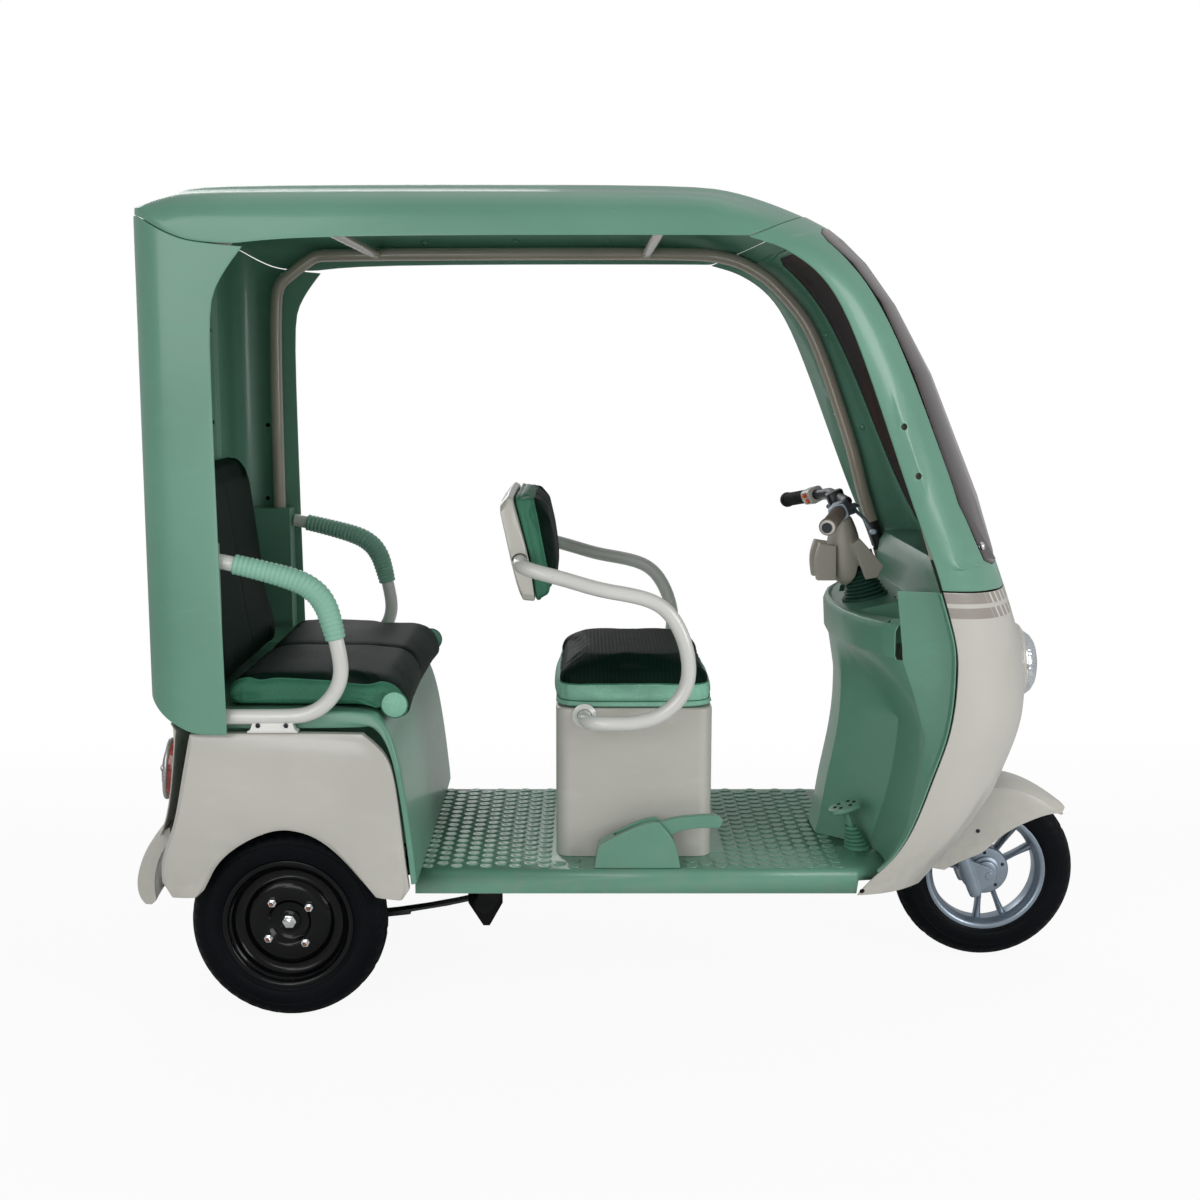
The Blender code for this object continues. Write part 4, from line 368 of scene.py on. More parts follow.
def tinted():
    """Tinted screen, see-through and glossy, with a few streaks."""
    made = Finish("tinted_screen", srgb(58, 38, 44), 0.06, IOR=1.45)
    streaks = made.noise(5.0, 4.0, (1.0, 3.0, 0.4)).step(0.45, 0.8)
    made.paint(made.blend(streaks, srgb(38, 24, 31), srgb(92, 56, 50)))
    made.roughen(0.05 + streaks * 0.10)
    plug(made.tree, made.shader.inputs["Alpha"], 0.88 + streaks * 0.05)
    return made


screen_tint = tinted()


def lamp_glass(name, colour, middle):
    """Patterned lamp glass over a bright bowl whose middle is at a height; the bowl is a painted reflection,
    a darker ring on the glass.
    """
    made = Finish(name, colour, 0.14, Metallic=0.55, Coat_Weight=0.8, Coat_Roughness=0.04)
    _, y, z = made.axes()
    up = z - middle
    radius = (y * y + up * up).math("SQRT")
    pitch = math.tau / 0.012
    flutes = (y * pitch).math("SINE") * (up * pitch).math("SINE")
    bowl = radius.step(0.020, 0.026) * (1.0 - radius.step(0.030, 0.036))
    # The darker ring round the middle is a painted reflection of the lamp bowl behind the glass.
    made.paint(made.blend(bowl + flutes.step(0.2, 0.9) * 0.4, colour, tone(colour, 0.45)))
    made.roughen(0.12 + made.noise(40.0, 3.0) * 0.12)
    made.emboss(flutes * 0.5 + radius * 8.0, 0.0012, 0.7)
    return made


LAMP_Z = 0.705
headlamp_glass = lamp_glass("headlamp_glass", srgb(198, 204, 210), LAMP_Z)
red_glass = Finish("red_lens", srgb(168, 30, 28), 0.16, Coat_Weight=0.8, Coat_Roughness=0.05)
red_glass.paint(red_glass.blend(red_glass.cells(160.0).step(0.1, 0.5), srgb(196, 44, 38), srgb(120, 18, 20)))
red_glass.roughen(0.12 + red_glass.noise(30.0, 3.0) * 0.14)
red_glass.emboss(red_glass.cells(160.0), 0.0006, 0.8)
lamp_silver = metal("lamp_silver", srgb(176, 178, 176), 0.26, weight=0.7)


# Mesh helpers
def mesh_of(name, shell):
    """New mesh from a bmesh, which is freed."""
    mesh = bpy.data.meshes.new(name)
    shell.to_mesh(mesh)
    shell.free()
    return mesh


def shell_of(mesh):
    """New bmesh from a mesh."""
    shell = bmesh.new()
    shell.from_mesh(mesh)
    return shell


def linked(name, data):
    """New object in the scene."""
    made = bpy.data.objects.new(name, data)
    bpy.context.collection.objects.link(made)
    return made


def creased(mesh, angle):
    """Smooth shading with sharp edges over an angle in degrees."""
    mesh.shade_smooth()
    mesh.set_sharp_from_angle(angle=math.radians(angle))
    return mesh


def rounded(made, levels):
    """Subdivided surface for an object."""
    rounder = made.modifiers.new("Rounder", "SUBSURF")
    rounder.levels = levels
    rounder.render_levels = levels


def faced_out(shell):
    """Bmesh with its faces turned outwards."""
    bmesh.ops.recalc_face_normals(shell, faces=shell.faces)
    if shell.calc_volume(signed=True) < 0:
        bmesh.ops.reverse_faces(shell, faces=shell.faces)
    return shell


def circle(count, shift=0.0):
    """Cosine and sine of even steps round a circle."""
    turns = [math.tau * (step + shift) / count for step in range(count)]
    return [(math.cos(turn), math.sin(turn)) for turn in turns]


def finished(name, shell, finish, body, replaces=(), crease=40.0):
    """Mesh object from a bmesh with its finish and body."""
    return adopted(name, creased(mesh_of(name, shell), crease), finish, body, replaces)


def adopted(name, mesh, finish, body, replaces=()):
    """Object from a ready mesh, with its finish, on its body."""
    mesh.materials.clear()
    mesh.materials.append(finish.material)
    made = linked(name, mesh)
    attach(made, body)
    if replaces:
        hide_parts(*replaces)
    return made


def merged(node, flats):
    """Merged copy of a CAD node as a bmesh, where asked with its flat areas joined."""
    shell = shell_of(NODES[node].data)
    bmesh.ops.remove_doubles(shell, verts=shell.verts, dist=2e-5)
    if flats:
        bmesh.ops.dissolve_limit(shell, angle_limit=math.radians(0.6), verts=shell.verts, edges=shell.edges)
        bmesh.ops.join_triangles(shell, faces=[face for face in shell.faces if len(face.verts) == 3],
                                 angle_face_threshold=math.radians(24.0),
                                 angle_shape_threshold=math.radians(50.0))
        bmesh.ops.connect_verts_concave(shell, faces=shell.faces)
    return shell


PLAIN = ("floor_pan", "chassis_frame")


def dressed(node, finish, width, soft):
    """Copy of a CAD node with rounded edges and, where soft, a rounder surface."""
    plain = node in PLAIN
    shell = merged(node, not plain)
    if not plain:
        edges = [edge for edge in shell.edges
                 if len(edge.link_faces) == 2 and edge.calc_face_angle(0.0) > math.radians(34.0)]
        bmesh.ops.bevel(shell, geom=edges, offset=width, segments=2, profile=0.5, affect="EDGES",
                        clamp_overlap=False)
        bmesh.ops.remove_doubles(shell, verts=shell.verts, dist=1e-5)
    made = finished(f"{node}_skin", shell, finish, BODY[node], (node,), crease=50.0)
    if soft:
        rounded(made, soft)
    elif not plain:
        made.modifiers.new("Even", "WEIGHTED_NORMAL").keep_sharp = True


def skin(rings, closed=False, capped=True):
    """Bmesh through rings of equal count."""
    shell = bmesh.new()
    rows = [[shell.verts.new(point) for point in ring] for ring in rings]
    count = len(rows)
    around = len(rows[0])
    for row in range(count if closed else count - 1):
        first, second = rows[row], rows[(row + 1) % count]
        for column in range(around):
            beside = (column + 1) % around
            shell.faces.new((first[column], first[beside], second[beside], second[column]))
    if capped and not closed:
        shell.faces.new(rows[0])
        shell.faces.new(rows[-1])
    bmesh.ops.remove_doubles(shell, verts=shell.verts, dist=1e-6)
    return faced_out(shell)


def join(*shells):
    """One bmesh out of several."""
    first = shells[0]
    for other in shells[1:]:
        mesh = mesh_of("join", other)
        first.from_mesh(mesh)
        bpy.data.meshes.remove(mesh)
    return first


def frame_of(axis):
    """Two directions square to an axis and to each other."""
    axis = Vector(axis).normalized()
    across = Vector((0, 0, 1) if abs(axis.z) < 0.9 else (1, 0, 0)).cross(axis).normalized()
    return axis, across, axis.cross(across)


def turned(profile, centre, axis, sides=64, wave=None):
    """Closed profile of (radius, reach) turned about an axis."""
    axis, across, over = frame_of(axis)
    rings = []
    for step, (cosine, sine) in enumerate(circle(sides)):
        spoke = across * cosine + over * sine
        rings.append([Vector(centre) + spoke * (wave(step, radius, reach) if wave else radius) + axis * reach
                      for radius, reach in profile])
    return skin(rings, closed=True)


def smooth_route(points, steps=5):
    """Round curve through the points of a polyline."""
    line = [Vector(point) for point in points]
    route = []
    for index in range(len(line) - 1):
        before = line[max(index - 1, 0)]
        start, end = line[index], line[index + 1]
        after = line[min(index + 2, len(line) - 1)]
        for step in range(steps):
            t = step / steps
            route.append(0.5 * (2 * start + (end - before) * t
                                + (2 * before - 5 * start + 4 * end - after) * t * t
                                + (3 * start - before - 3 * end + after) * t ** 3))
    route.append(line[-1])
    return route


def tube(route, radius, around=20, size=None, tall=1.0, up=(0, 1, 0)):
    """Round rod along a route."""
    across = None
    rings = []
    for index, point in enumerate(route):
        came = point - route[max(index - 1, 0)]
        goes = route[min(index + 1, len(route) - 1)] - point
        ahead = (came.normalized() + goes.normalized()).normalized()
        if across is None:
            across = ahead.cross(Vector(up)).normalized()
        else:
            across = (across - ahead * across.dot(ahead)).normalized()
        over = across.cross(ahead)
        grow = 1.0 if size is None else size(index / (len(route) - 1))
        rings.append([point + (across * cosine + over * sine * tall) * radius * grow
                      for cosine, sine in circle(around)])
    return skin(rings)


def bent(points, radius, steps=6):
    """Polyline with its inner corners rounded."""
    corners = [Vector(point) for point in points]
    route = [corners[0]]
    for before, corner, after in zip(corners, corners[1:], corners[2:]):
        back = before - corner
        ahead = after - corner
        half = back.angle(ahead) / 2
        reach = min(radius / math.tan(half), 0.48 * back.length, 0.48 * ahead.length)
        curve = reach * math.tan(half)
        centre = corner + (back.normalized() + ahead.normalized()).normalized() * curve / math.sin(half)
        first = corner + back.normalized() * reach - centre
        last = corner + ahead.normalized() * reach - centre
        swing = first.angle(last)
        for step in range(steps + 1):
            share = step / steps
            route.append(centre + (first * math.sin((1.0 - share) * swing)
                                   + last * math.sin(share * swing)) / math.sin(swing))
    route.append(corners[-1])
    return route


# Moulded and plain pieces that keep the shape of their solid
DRESSED = (
    ("windshield_surround", green, "green_plastic", 0.0012, 2),
    ("windshield", screen_tint, "tinted_screen", 0.0006, 0),
    ("front_apron", apron_cream, "cream_plastic", 0.0008, 2),
    ("roof_panel", green, "green_plastic", 0.0012, 2),
    ("side_panel_right", green, "green_plastic", 0.0012, 2),
    ("side_panel_left", green, "green_plastic", 0.0012, 2),
    ("rear_wall", green, "green_plastic", 0.0015, 0),
    ("leg_shield", green, "green_plastic", 0.0008, 2),
    ("dashboard", green, "green_plastic", 0.0012, 0),
    ("floor_pan", green, "green_plastic", 0.0012, 0),
    ("rear_seat_base", green, "green_plastic", 0.002, 2),
    ("rear_bumper", cream, "cream_plastic", 0.002, 2),
    ("rear_fender_right", cream, "cream_plastic", 0.0012, 2),
    ("rear_fender_left", cream, "cream_plastic", 0.0012, 2),
    ("front_fender", cream, "cream_plastic", 0.0008, 2),
    ("driver_seat_box", cream, "cream_plastic", 0.0015, 0),
    ("driver_backrest_shell", cream, "cream_plastic", 0.003, 2),
    ("bar_cowl", warm_grey, "cream_plastic", 0.002, 2),
    ("handbrake_base", green, "green_plastic", 0.002, 2),
    ("handbrake_lever", green, "green_plastic", 0.0025, 2),
    ("chassis_frame", black_paint, "black_steel", 0.0012, 0),
    ("rear_axle", black_paint, "black_steel", 0.0012, 0),
    ("battery_pack", black_plastic, "battery_case", 0.0015, 0),
    ("leaf_spring_right", steel, "black_steel", 0.0006, 0),
    ("leaf_spring_left", steel, "black_steel", 0.0006, 0),
    ("tail_lamp_right", red_glass, "red_lens", 0.0008, 2),
    ("tail_lamp_left", red_glass, "red_lens", 0.0008, 2),
    ("switch_pod_right", alloy, "black_steel", 0.0008, 2),
    ("switch_pod_left", cream, "black_steel", 0.0008, 2),
    ("horn_button", orange, "orange_plastic", 0.0006, 0),
    ("turn_switch", orange, "orange_plastic", 0.0008, 0),
    ("lamp_switch", orange, "orange_plastic", 0.0008, 0),
    ("ignition_lock", chrome, "chrome", 0.0004, 0),
    ("brake_pedal", green, "black_rubber", 0.0012, 0),
    ("fork_lowers", alloy, "black_steel", 0.001, 2),
    ("steering_fork", steel, "black_steel", 0.001, 2),
)
for node, finish, slot, width, soft in DRESSED:
    dressed(node, finish, width, soft)


# Geometry node trees
def new_tree(name, inputs):
    """Geometry node tree with a geometry input, named inputs and a geometry output."""
    tree = bpy.data.node_groups.new(name, "GeometryNodeTree")
    tree.interface.new_socket("Geometry", in_out="INPUT", socket_type="NodeSocketGeometry")
    for label, kind in inputs:
        tree.interface.new_socket(label, in_out="INPUT", socket_type=kind)
    tree.interface.new_socket("Geometry", in_out="OUTPUT", socket_type="NodeSocketGeometry")
    entry = tree.nodes.new("NodeGroupInput")
    wires = {output.name: Wire(tree, output) for output in entry.outputs if output.name}
    return tree, wires


def end_tree(tree, geometry, material):
    """Close a tree with real geometry and its material."""
    real = make_node(tree, "GeometryNodeRealizeInstances", None, {"Geometry": geometry})
    done = make_node(tree, "GeometryNodeSetMaterial", None, {"Geometry": real, "Material": material})
    leave = tree.nodes.new("NodeGroupOutput")
    tree.links.new(done.socket, leave.inputs[0])


def run_tree(tree, carrier, values):
    """Plain mesh that a tree makes from a carrier object, with values by input name."""
    step = carrier.modifiers.new("Tree", "NODES")
    step.node_group = tree
    for item in tree.interface.items_tree:
        if item.item_type == "SOCKET" and item.in_out == "INPUT" and item.name in values:
            step[item.identifier] = values[item.name]
    graph = bpy.context.evaluated_depsgraph_get()
    mesh = bpy.data.meshes.new_from_object(carrier.evaluated_get(graph))
    bpy.data.objects.remove(carrier)
    return mesh


def copies_tree():
    """Tree that stands a copy of a small part on each point, along the point's aim."""
    tree, wires = new_tree("place_copies", (("Part", "NodeSocketObject"), ("Size", "NodeSocketFloat"),
                                            ("Material", "NodeSocketMaterial")))
    part = make_node(tree, "GeometryNodeObjectInfo", None, {"Object": wires["Part"]}, output="Geometry")
    aim = make_node(tree, "GeometryNodeInputNamedAttribute", {"data_type": "FLOAT_VECTOR"}, {"Name": "aim"})
    turn = make_node(tree, "FunctionNodeAlignRotationToVector", {"axis": "Z"}, {"Vector": aim})
    placed = make_node(tree, "GeometryNodeInstanceOnPoints", None,
                       {"Points": wires["Geometry"], "Instance": part, "Rotation": turn})
    sized = make_node(tree, "GeometryNodeScaleInstances", None, {"Instances": placed, "Scale": wires["Size"]})
    end_tree(tree, sized, wires["Material"])
    return tree


def ribs_tree():
    """Tree that carries a round ribbed sleeve along a path."""
    tree, wires = new_tree("ribbed_sleeve", (("Radius", "NodeSocketFloat"), ("Swell", "NodeSocketFloat"),
                                             ("Depth", "NodeSocketFloat"), ("Ribs", "NodeSocketFloat"),
                                             ("Material", "NodeSocketMaterial")))
    line = make_node(tree, "GeometryNodeResampleCurve", None, {"Curve": wires["Geometry"], "Count": 420})
    share = make_node(tree, "GeometryNodeSplineParameter")
    swell = ((share ** 1.6) * math.pi).math("SINE") * wires["Swell"]
    wave = ((share * wires["Ribs"]) * math.tau).math("COSINE") * -0.5 + 0.5
    rib = (wave ** 0.6) * wires["Depth"]
    ends = share.step(0.0, 0.006) * (1.0 - share.step(0.994, 1.0)) * 0.22 + 0.78
    radius = (wires["Radius"] + swell + rib) * ends
    sized = make_node(tree, "GeometryNodeSetCurveRadius", None, {"Curve": line, "Radius": radius})
    ring = make_node(tree, "GeometryNodeCurvePrimitiveCircle", None, {"Resolution": 28, "Radius": 1.0})
    body = make_node(tree, "GeometryNodeCurveToMesh", None, {"Curve": sized, "Profile Curve": ring,
                                                            "Fill Caps": True, "Scale": radius})
    end_tree(tree, body, wires["Material"])
    return tree


COPIES = copies_tree()
RIBS = ribs_tree()


def placed_copies(name, template, spots, finish, body):
    """Copies of a small part at (place, aim) spots, as one mesh on one body."""
    part = linked(f"{name}_part", mesh_of(f"{name}_part", template))
    points = bpy.data.meshes.new(f"{name}_points")
    points.from_pydata([tuple(place) for place, _ in spots], [], [])
    aims = points.attributes.new("aim", "FLOAT_VECTOR", "POINT")
    for index, (_, aim) in enumerate(spots):
        aims.data[index].vector = Vector(aim).normalized()
    carrier = linked(f"{name}_points", points)
    mesh = run_tree(COPIES, carrier, {"Part": part, "Size": 1.0, "Material": finish.material})
    bpy.data.objects.remove(part)
    mesh.name = name
    if "aim" in mesh.attributes:
        mesh.attributes.remove(mesh.attributes["aim"])
    return adopted(name, creased(mesh, 35.0), finish, body)


def ribbed(name, route, finish, body, slot, radius, swell, depth, ribs, replaces=()):
    """Ribbed sleeve along a route."""
    line = bpy.data.curves.new(f"{name}_line", "CURVE")
    line.dimensions = "3D"
    spline = line.splines.new("POLY")
    spline.points.add(len(route) - 1)
    for point, place in zip(spline.points, route):
        point.co = (*place, 1.0)
    carrier = linked(f"{name}_line", line)
    shell = shell_of(run_tree(RIBS, carrier, {"Radius": radius, "Swell": swell, "Depth": depth,
                                              "Ribs": float(ribs), "Material": finish.material}))
    bmesh.ops.remove_doubles(shell, verts=shell.verts, dist=1e-6)
    return finished(name, faced_out(shell), finish, body, replaces, crease=60.0)


# Small parts that are used again
def dome_screw(radius, height):
    """Dome head with a dimple."""
    return turned_up([(0.0, height * 0.55), (radius * 0.18, height * 0.55), (radius * 0.30, height),
                      (radius * 0.62, height * 0.86), (radius * 0.92, height * 0.45), (radius, 0.0),
                      (0.0, -0.0005)], 14)


def turned_up(profile, sides):
    """Profile turned about the upright axis at the origin."""
    return skin([[Vector((radius * cosine, radius * sine, reach)) for radius, reach in profile]
                 for cosine, sine in circle(sides)], closed=True)


def hex_nut(width=0.0105, height=0.009):
    """Hexagon nut with a stud standing out of it."""
    levels = ((0.0, 1.0), (height * 0.8, 1.0), (height, 0.88), (height, 0.52), (height + 0.006, 0.50),
              (height + 0.007, 0.40), (height + 0.007, 0.0))
    return skin([[Vector((width * grow * cosine, width * grow * sine, reach)) for cosine, sine in circle(6)]
                 for reach, grow in levels], capped=False)


def floor_stud():
    """Low round stud with a flat crown and a small dimple ring."""
    return turned_up([(0.0, 0.0018), (0.006, 0.0018), (0.0075, 0.0023), (0.0115, 0.0023), (0.0138, 0.0015),
                      (0.0146, 0.0), (0.0, -0.0006)], 16)


# Wheels
def make_tyre(name, node, centre, half, finish):
    """Tyre with round walls, two wear grooves and cross cuts over its shoulders."""
    side = [(0.1290, 0.0310), (0.1335, 0.0322), (0.1400, half * 0.80), (0.1480, half * 0.93),
            (0.1580, half * 0.995), (0.1680, half * 1.0), (0.1780, half * 0.985), (0.1860, half * 0.95),
            (0.1930, half * 0.88), (0.1985, half * 0.78), (0.2030, half * 0.64), (0.2055, half * 0.52),
            (0.2072, half * 0.42), (0.2034, half * 0.40), (0.2034, half * 0.32), (0.2086, half * 0.30),
            (0.2098, half * 0.14), (0.2060, half * 0.06)]
    profile = side + [(radius, -reach) for radius, reach in reversed(side)]

    def wave(step, radius, reach):
        cut = 0.0
        if abs(reach) > half * 0.45 and radius > 0.190:
            phase = (step + (0 if reach > 0 else 2)) % 4
            cut = 0.0032 if phase == 0 else 0.0
        elif abs(reach) < half * 0.31 and radius > 0.2074 and step % 8 == (0 if reach > 0 else 4):
            cut = 0.0024
        return radius - cut

    shell = turned(profile, centre, (0, 1, 0), 200, wave)
    finished(name, shell, finish, BODY[node], (node,), crease=38.0)


def rear_hub(side):
    """Middle of a rear wheel."""
    return REAR_AXLE + Vector((0.0, side * HALF_TRACK, 0.0))


make_tyre("front_tyre_tread", "front_tyre", FRONT_HUB, 0.0425, front_tyre_rubber)
for side, word in SIDES:
    make_tyre(f"rear_tyre_tread_{word}", f"rear_tyre_{word}", rear_hub(side), 0.045, rear_tyre_rubber)


def make_rear_wheel(side, word):
    """Pressed steel wheel: stepped dish, rolled rim, hub with a castle nut, and four nuts on studs."""
    centre = rear_hub(side)
    profile = [(0.0, 0.0055), (0.118, 0.004), (0.1235, -0.030), (0.1395, -0.0362), (0.1285, -0.0325),
               (0.1280, 0.0), (0.1285, 0.0325), (0.1395, 0.0368), (0.1400, 0.0385), (0.1372, 0.0392),
               (0.1310, 0.0372), (0.1290, 0.0345), (0.1275, 0.0290), (0.1240, 0.0268), (0.1215, 0.0225),
               (0.1190, 0.0180), (0.1160, 0.0125), (0.1090, 0.0092), (0.0990, 0.0085), (0.0955, 0.0098),
               (0.0925, 0.0130), (0.0860, 0.0178), (0.0800, 0.0206), (0.0720, 0.0212), (0.0560, 0.0212),
               (0.0500, 0.0206), (0.0465, 0.0180), (0.0420, 0.0120), (0.0395, 0.0102), (0.0240, 0.0100),
               (0.0232, 0.0140), (0.0215, 0.0150), (0.0, 0.0150)]
    shell = turned([(radius, side * reach) for radius, reach in profile], centre, (0, 1, 0), 96)
    body = f"rear_wheel_{word}"
    finished(f"rear_wheel_disc_{word}", shell, black_paint, body, (f"rear_rim_{word}",),
             crease=48.0)
    out = Vector((0, side, 0))
    spots = []
    for number in range(4):
        turn = math.radians(38.0 + 90.0 * number)
        place = centre + Vector((0.0560 * math.cos(turn), side * 0.0210, 0.0560 * math.sin(turn)))
        spots.append((place, out))
    placed_copies(f"wheel_nuts_{word}", hex_nut(), spots, chrome, body)
    tips = turned_up([(0.0, 0.0125), (0.0030, 0.0125), (0.0038, 0.0115), (0.0038, 0.0), (0.0, 0.0)], 14)
    placed_copies(f"stud_tips_{word}", tips, [(place + out * 0.0062, aim) for place, aim in spots], copper,
                  body)
    levels = ((0.0148, 0.0150), (0.0215, 0.0150), (0.0226, 0.0129), (0.0226, 0.00675), (0.0255, 0.0066),
              (0.0262, 0.0051), (0.0262, 0.0))
    castle = skin([[centre + Vector((radius * cosine, side * reach, radius * sine))
                    for cosine, sine in circle(6)] for reach, radius in levels], capped=False)
    pin = tube([centre + Vector((x, side * 0.0242, z)) for x, z in ((-0.013, 0.004), (0.013, -0.004))],
               0.0014, 10)
    finished(f"castle_nut_{word}", join(castle, pin), chrome, body, crease=32.0)


def make_front_wheel():
    """Cast wheel: round barrel, ribbed hub and three pairs of spokes with a raised spine."""
    centre = FRONT_HUB
    half = [(0.1280, 0.0312), (0.1396, 0.0352), (0.1403, 0.0366), (0.1380, 0.0374), (0.1325, 0.0366),
            (0.1290, 0.0335), (0.1262, 0.0280), (0.1250, 0.0220), (0.1215, 0.0180), (0.1208, 0.0150)]
    barrel = turned(half + [(radius, -reach) for radius, reach in reversed(half)], centre, (0, 1, 0), 96)
    half = [(0.0105, -0.044), (0.0240, -0.044), (0.0270, -0.0415), (0.0285, -0.0360), (0.0385, -0.0225),
            (0.0400, -0.0190)]
    hub = turned(half + [(radius, -reach) for radius, reach in reversed(half)], centre, (0, 1, 0), 64)
    outline = ((1.0, 0.0), (0.92, 0.62), (0.55, 0.92), (0.0, 1.06), (-0.55, 0.92), (-0.92, 0.62), (-1.0, 0.0),
               (-0.92, -0.62), (-0.55, -0.92), (0.0, -1.06), (0.55, -0.92), (0.92, -0.62))
    spokes = []
    for number in range(3):
        turn = math.radians(40.0 + 120.0 * number)
        ray = Vector((math.cos(turn), 0.0, math.sin(turn)))
        beside = Vector((-math.sin(turn), 0.0, math.cos(turn)))
        for twin in (-1, 1):
            rings = []
            for share in (0.0, 0.12, 0.3, 0.5, 0.7, 0.88, 1.0):
                reach = 0.030 + 0.0925 * share
                aside = twin * (0.0115 + 0.0200 * share ** 1.15)
                wide = 0.0085 - 0.0028 * math.sin(math.pi * min(1.0, share * 1.1))
                deep = 0.0185 - 0.0050 * share
                middle = centre + ray * reach + beside * aside
                rings.append([middle + beside * (wide * a) + Vector((0, deep * b, 0)) for a, b in outline])
            spokes.append(skin(rings))
    finished("front_wheel_casting", join(barrel, hub, *spokes), alloy, "front_wheel",
             ("front_rim",), crease=42.0)
    half = [(0.030, -0.0300), (0.0480, -0.0285), (0.0540, -0.0270), (0.0565, -0.0240), (0.0575, -0.0180)]
    drum = turned(half + [(radius, -reach) for radius, reach in reversed(half)], centre, (0, 1, 0), 72)
    cap = turned([(0.0120, -0.0390), (0.0300, -0.0375), (0.0345, -0.0345), (0.0355, -0.0280),
                  (0.0120, -0.0280)], centre, (0, 1, 0), 60)
    finished("hub_drum", join(drum, cap), alloy, "front_wheel", crease=36.0)
    spots = []
    for number in range(5):
        turn = math.radians(72.0 * number + 20.0)
        spots.append((centre + Vector((0.044 * math.cos(turn), -0.0286, 0.044 * math.sin(turn))), (0, -1, 0)))
    placed_copies("drum_bolts", dome_screw(0.0042, 0.0026), spots, steel, "front_wheel")


for side, word in SIDES:
    make_rear_wheel(side, word)
make_front_wheel()


# Headlamp
def make_headlamp():
    """Cream bezel, bright inner ring and fluted lens of the round lamp."""
    centre = (0.0, 0.0, LAMP_Z)
    bezel = turned([(0.0860, 0.845), (0.0860, 0.8960), (0.0915, 0.8970), (0.0935, 0.9005), (0.0940, 0.9060),
                    (0.0932, 0.9110), (0.0905, 0.9150), (0.0870, 0.9165), (0.0845, 0.9150), (0.0835, 0.9120),
                    (0.0830, 0.9050), (0.0830, 0.8450)], centre, (1, 0, 0), 96)
    finished("lamp_bezel", bezel, cream, "body", crease=50.0)
    ring = turned([(0.0828, 0.9080), (0.0828, 0.9185), (0.0812, 0.9215), (0.0785, 0.9225), (0.0762, 0.9205),
                   (0.0758, 0.9080)], centre, (1, 0, 0), 96)
    finished("lamp_ring", ring, chrome, "body", crease=50.0)
    lens = turned([(0.0, 0.9555), (0.0200, 0.9548), (0.0400, 0.9522), (0.0560, 0.9472), (0.0665, 0.9400),
                   (0.0735, 0.9300), (0.0755, 0.9200), (0.0755, 0.9085), (0.0, 0.9085)], centre, (1, 0, 0),
                  96)
    finished("lamp_lens", lens, headlamp_glass, "body", ("headlamp",), crease=50.0)


make_headlamp()


# Tube work
def eased(route, spacing=0.008, rounds=16):
    """Route with even steps and its small kinks taken out, its ends kept."""
    marks = [0.0]
    for before, point in zip(route, route[1:]):
        marks.append(marks[-1] + (point - before).length)
    count = max(3, round(marks[-1] / spacing))
    line = []
    index = 0
    for step in range(count + 1):
        place = marks[-1] * step / count
        while index < len(marks) - 2 and marks[index + 1] < place:
            index += 1
        length = marks[index + 1] - marks[index]
        share = 0.0 if length < 1e-9 else (place - marks[index]) / length
        line.append(route[index].lerp(route[index + 1], min(1.0, share)))
    for _ in range(rounds):
        line = [line[0]] + [line[k] * 0.5 + (line[k - 1] + line[k + 1]) * 0.25
                            for k in range(1, len(line) - 1)] + [line[-1]]
    return line


ARM_SIDE = ((-0.095, 0.632), (0.012, 0.632), (0.067, 0.648), (0.109, 0.685), (0.128, 0.728), (0.1255, 0.783),
            (0.108, 0.837), (0.074, 0.886), (0.023, 0.907), (-0.062, 0.922), (-0.147, 0.948))
ARMREST = ((-0.8435, 0.9973), (-0.80, 0.989), (-0.700, 0.963), (-0.656, 0.945), (-0.628, 0.915),
           (-0.6165, 0.878), (-0.600, 0.805), (-0.595, 0.763), (-0.603, 0.735), (-0.6225, 0.705),
           (-0.650, 0.684), (-0.682, 0.674), (-0.850, 0.673))
ROOF_TUBE = ((-0.8815, 0.440, 1.0303), (-0.877, 0.440, 1.540), (-0.842, 0.440, 1.613), (-0.783, 0.440, 1.655),
             (-0.700, 0.440, 1.667), (0.100, 0.440, 1.670), (0.260, 0.430, 1.659), (0.335, 0.420, 1.628),
             (0.395, 0.414, 1.580), (0.480, 0.404, 1.466), (0.575, 0.392, 1.208), (0.613, 0.389, 1.072),
             (0.661, 0.386, 0.931))


def make_arm_frame():
    """Bent tube round the driver, passing through the backrest shell."""
    side = [(x, 0.329, z) for x, z in ARM_SIDE]
    foot = bent([(-0.095, 0.2458, 0.632), (-0.095, 0.329, 0.632), side[1]], 0.034)
    turn_in = bent([side[-1], (-0.2355, 0.329, 0.970), (-0.2355, 0.0, 0.970)], 0.05)
    left = foot[:-1] + smooth_route(side[1:-1], 6)[:-1] + [Vector(side[-2])] + turn_in
    mirror = [Vector((point.x, -point.y, point.z)) for point in reversed(left[:-1])]
    finished("arm_frame_tube", tube(eased(left + mirror), 0.0160, 22, up=(0, 0, 1)), white_paint, "body",
             ("driver_arm_frame",), crease=60.0)
    profile = [(0.0165, 0.0), (0.026, 0.0), (0.027, 0.0012), (0.027, 0.0040), (0.0225, 0.0062),
               (0.0168, 0.0100)]
    flanges = [turned(profile, (-0.095, way * 0.2454, 0.632), (0, way, 0), 36) for way, _ in SIDES]
    finished("arm_frame_flanges", join(*flanges), white_paint, "body", crease=45.0)


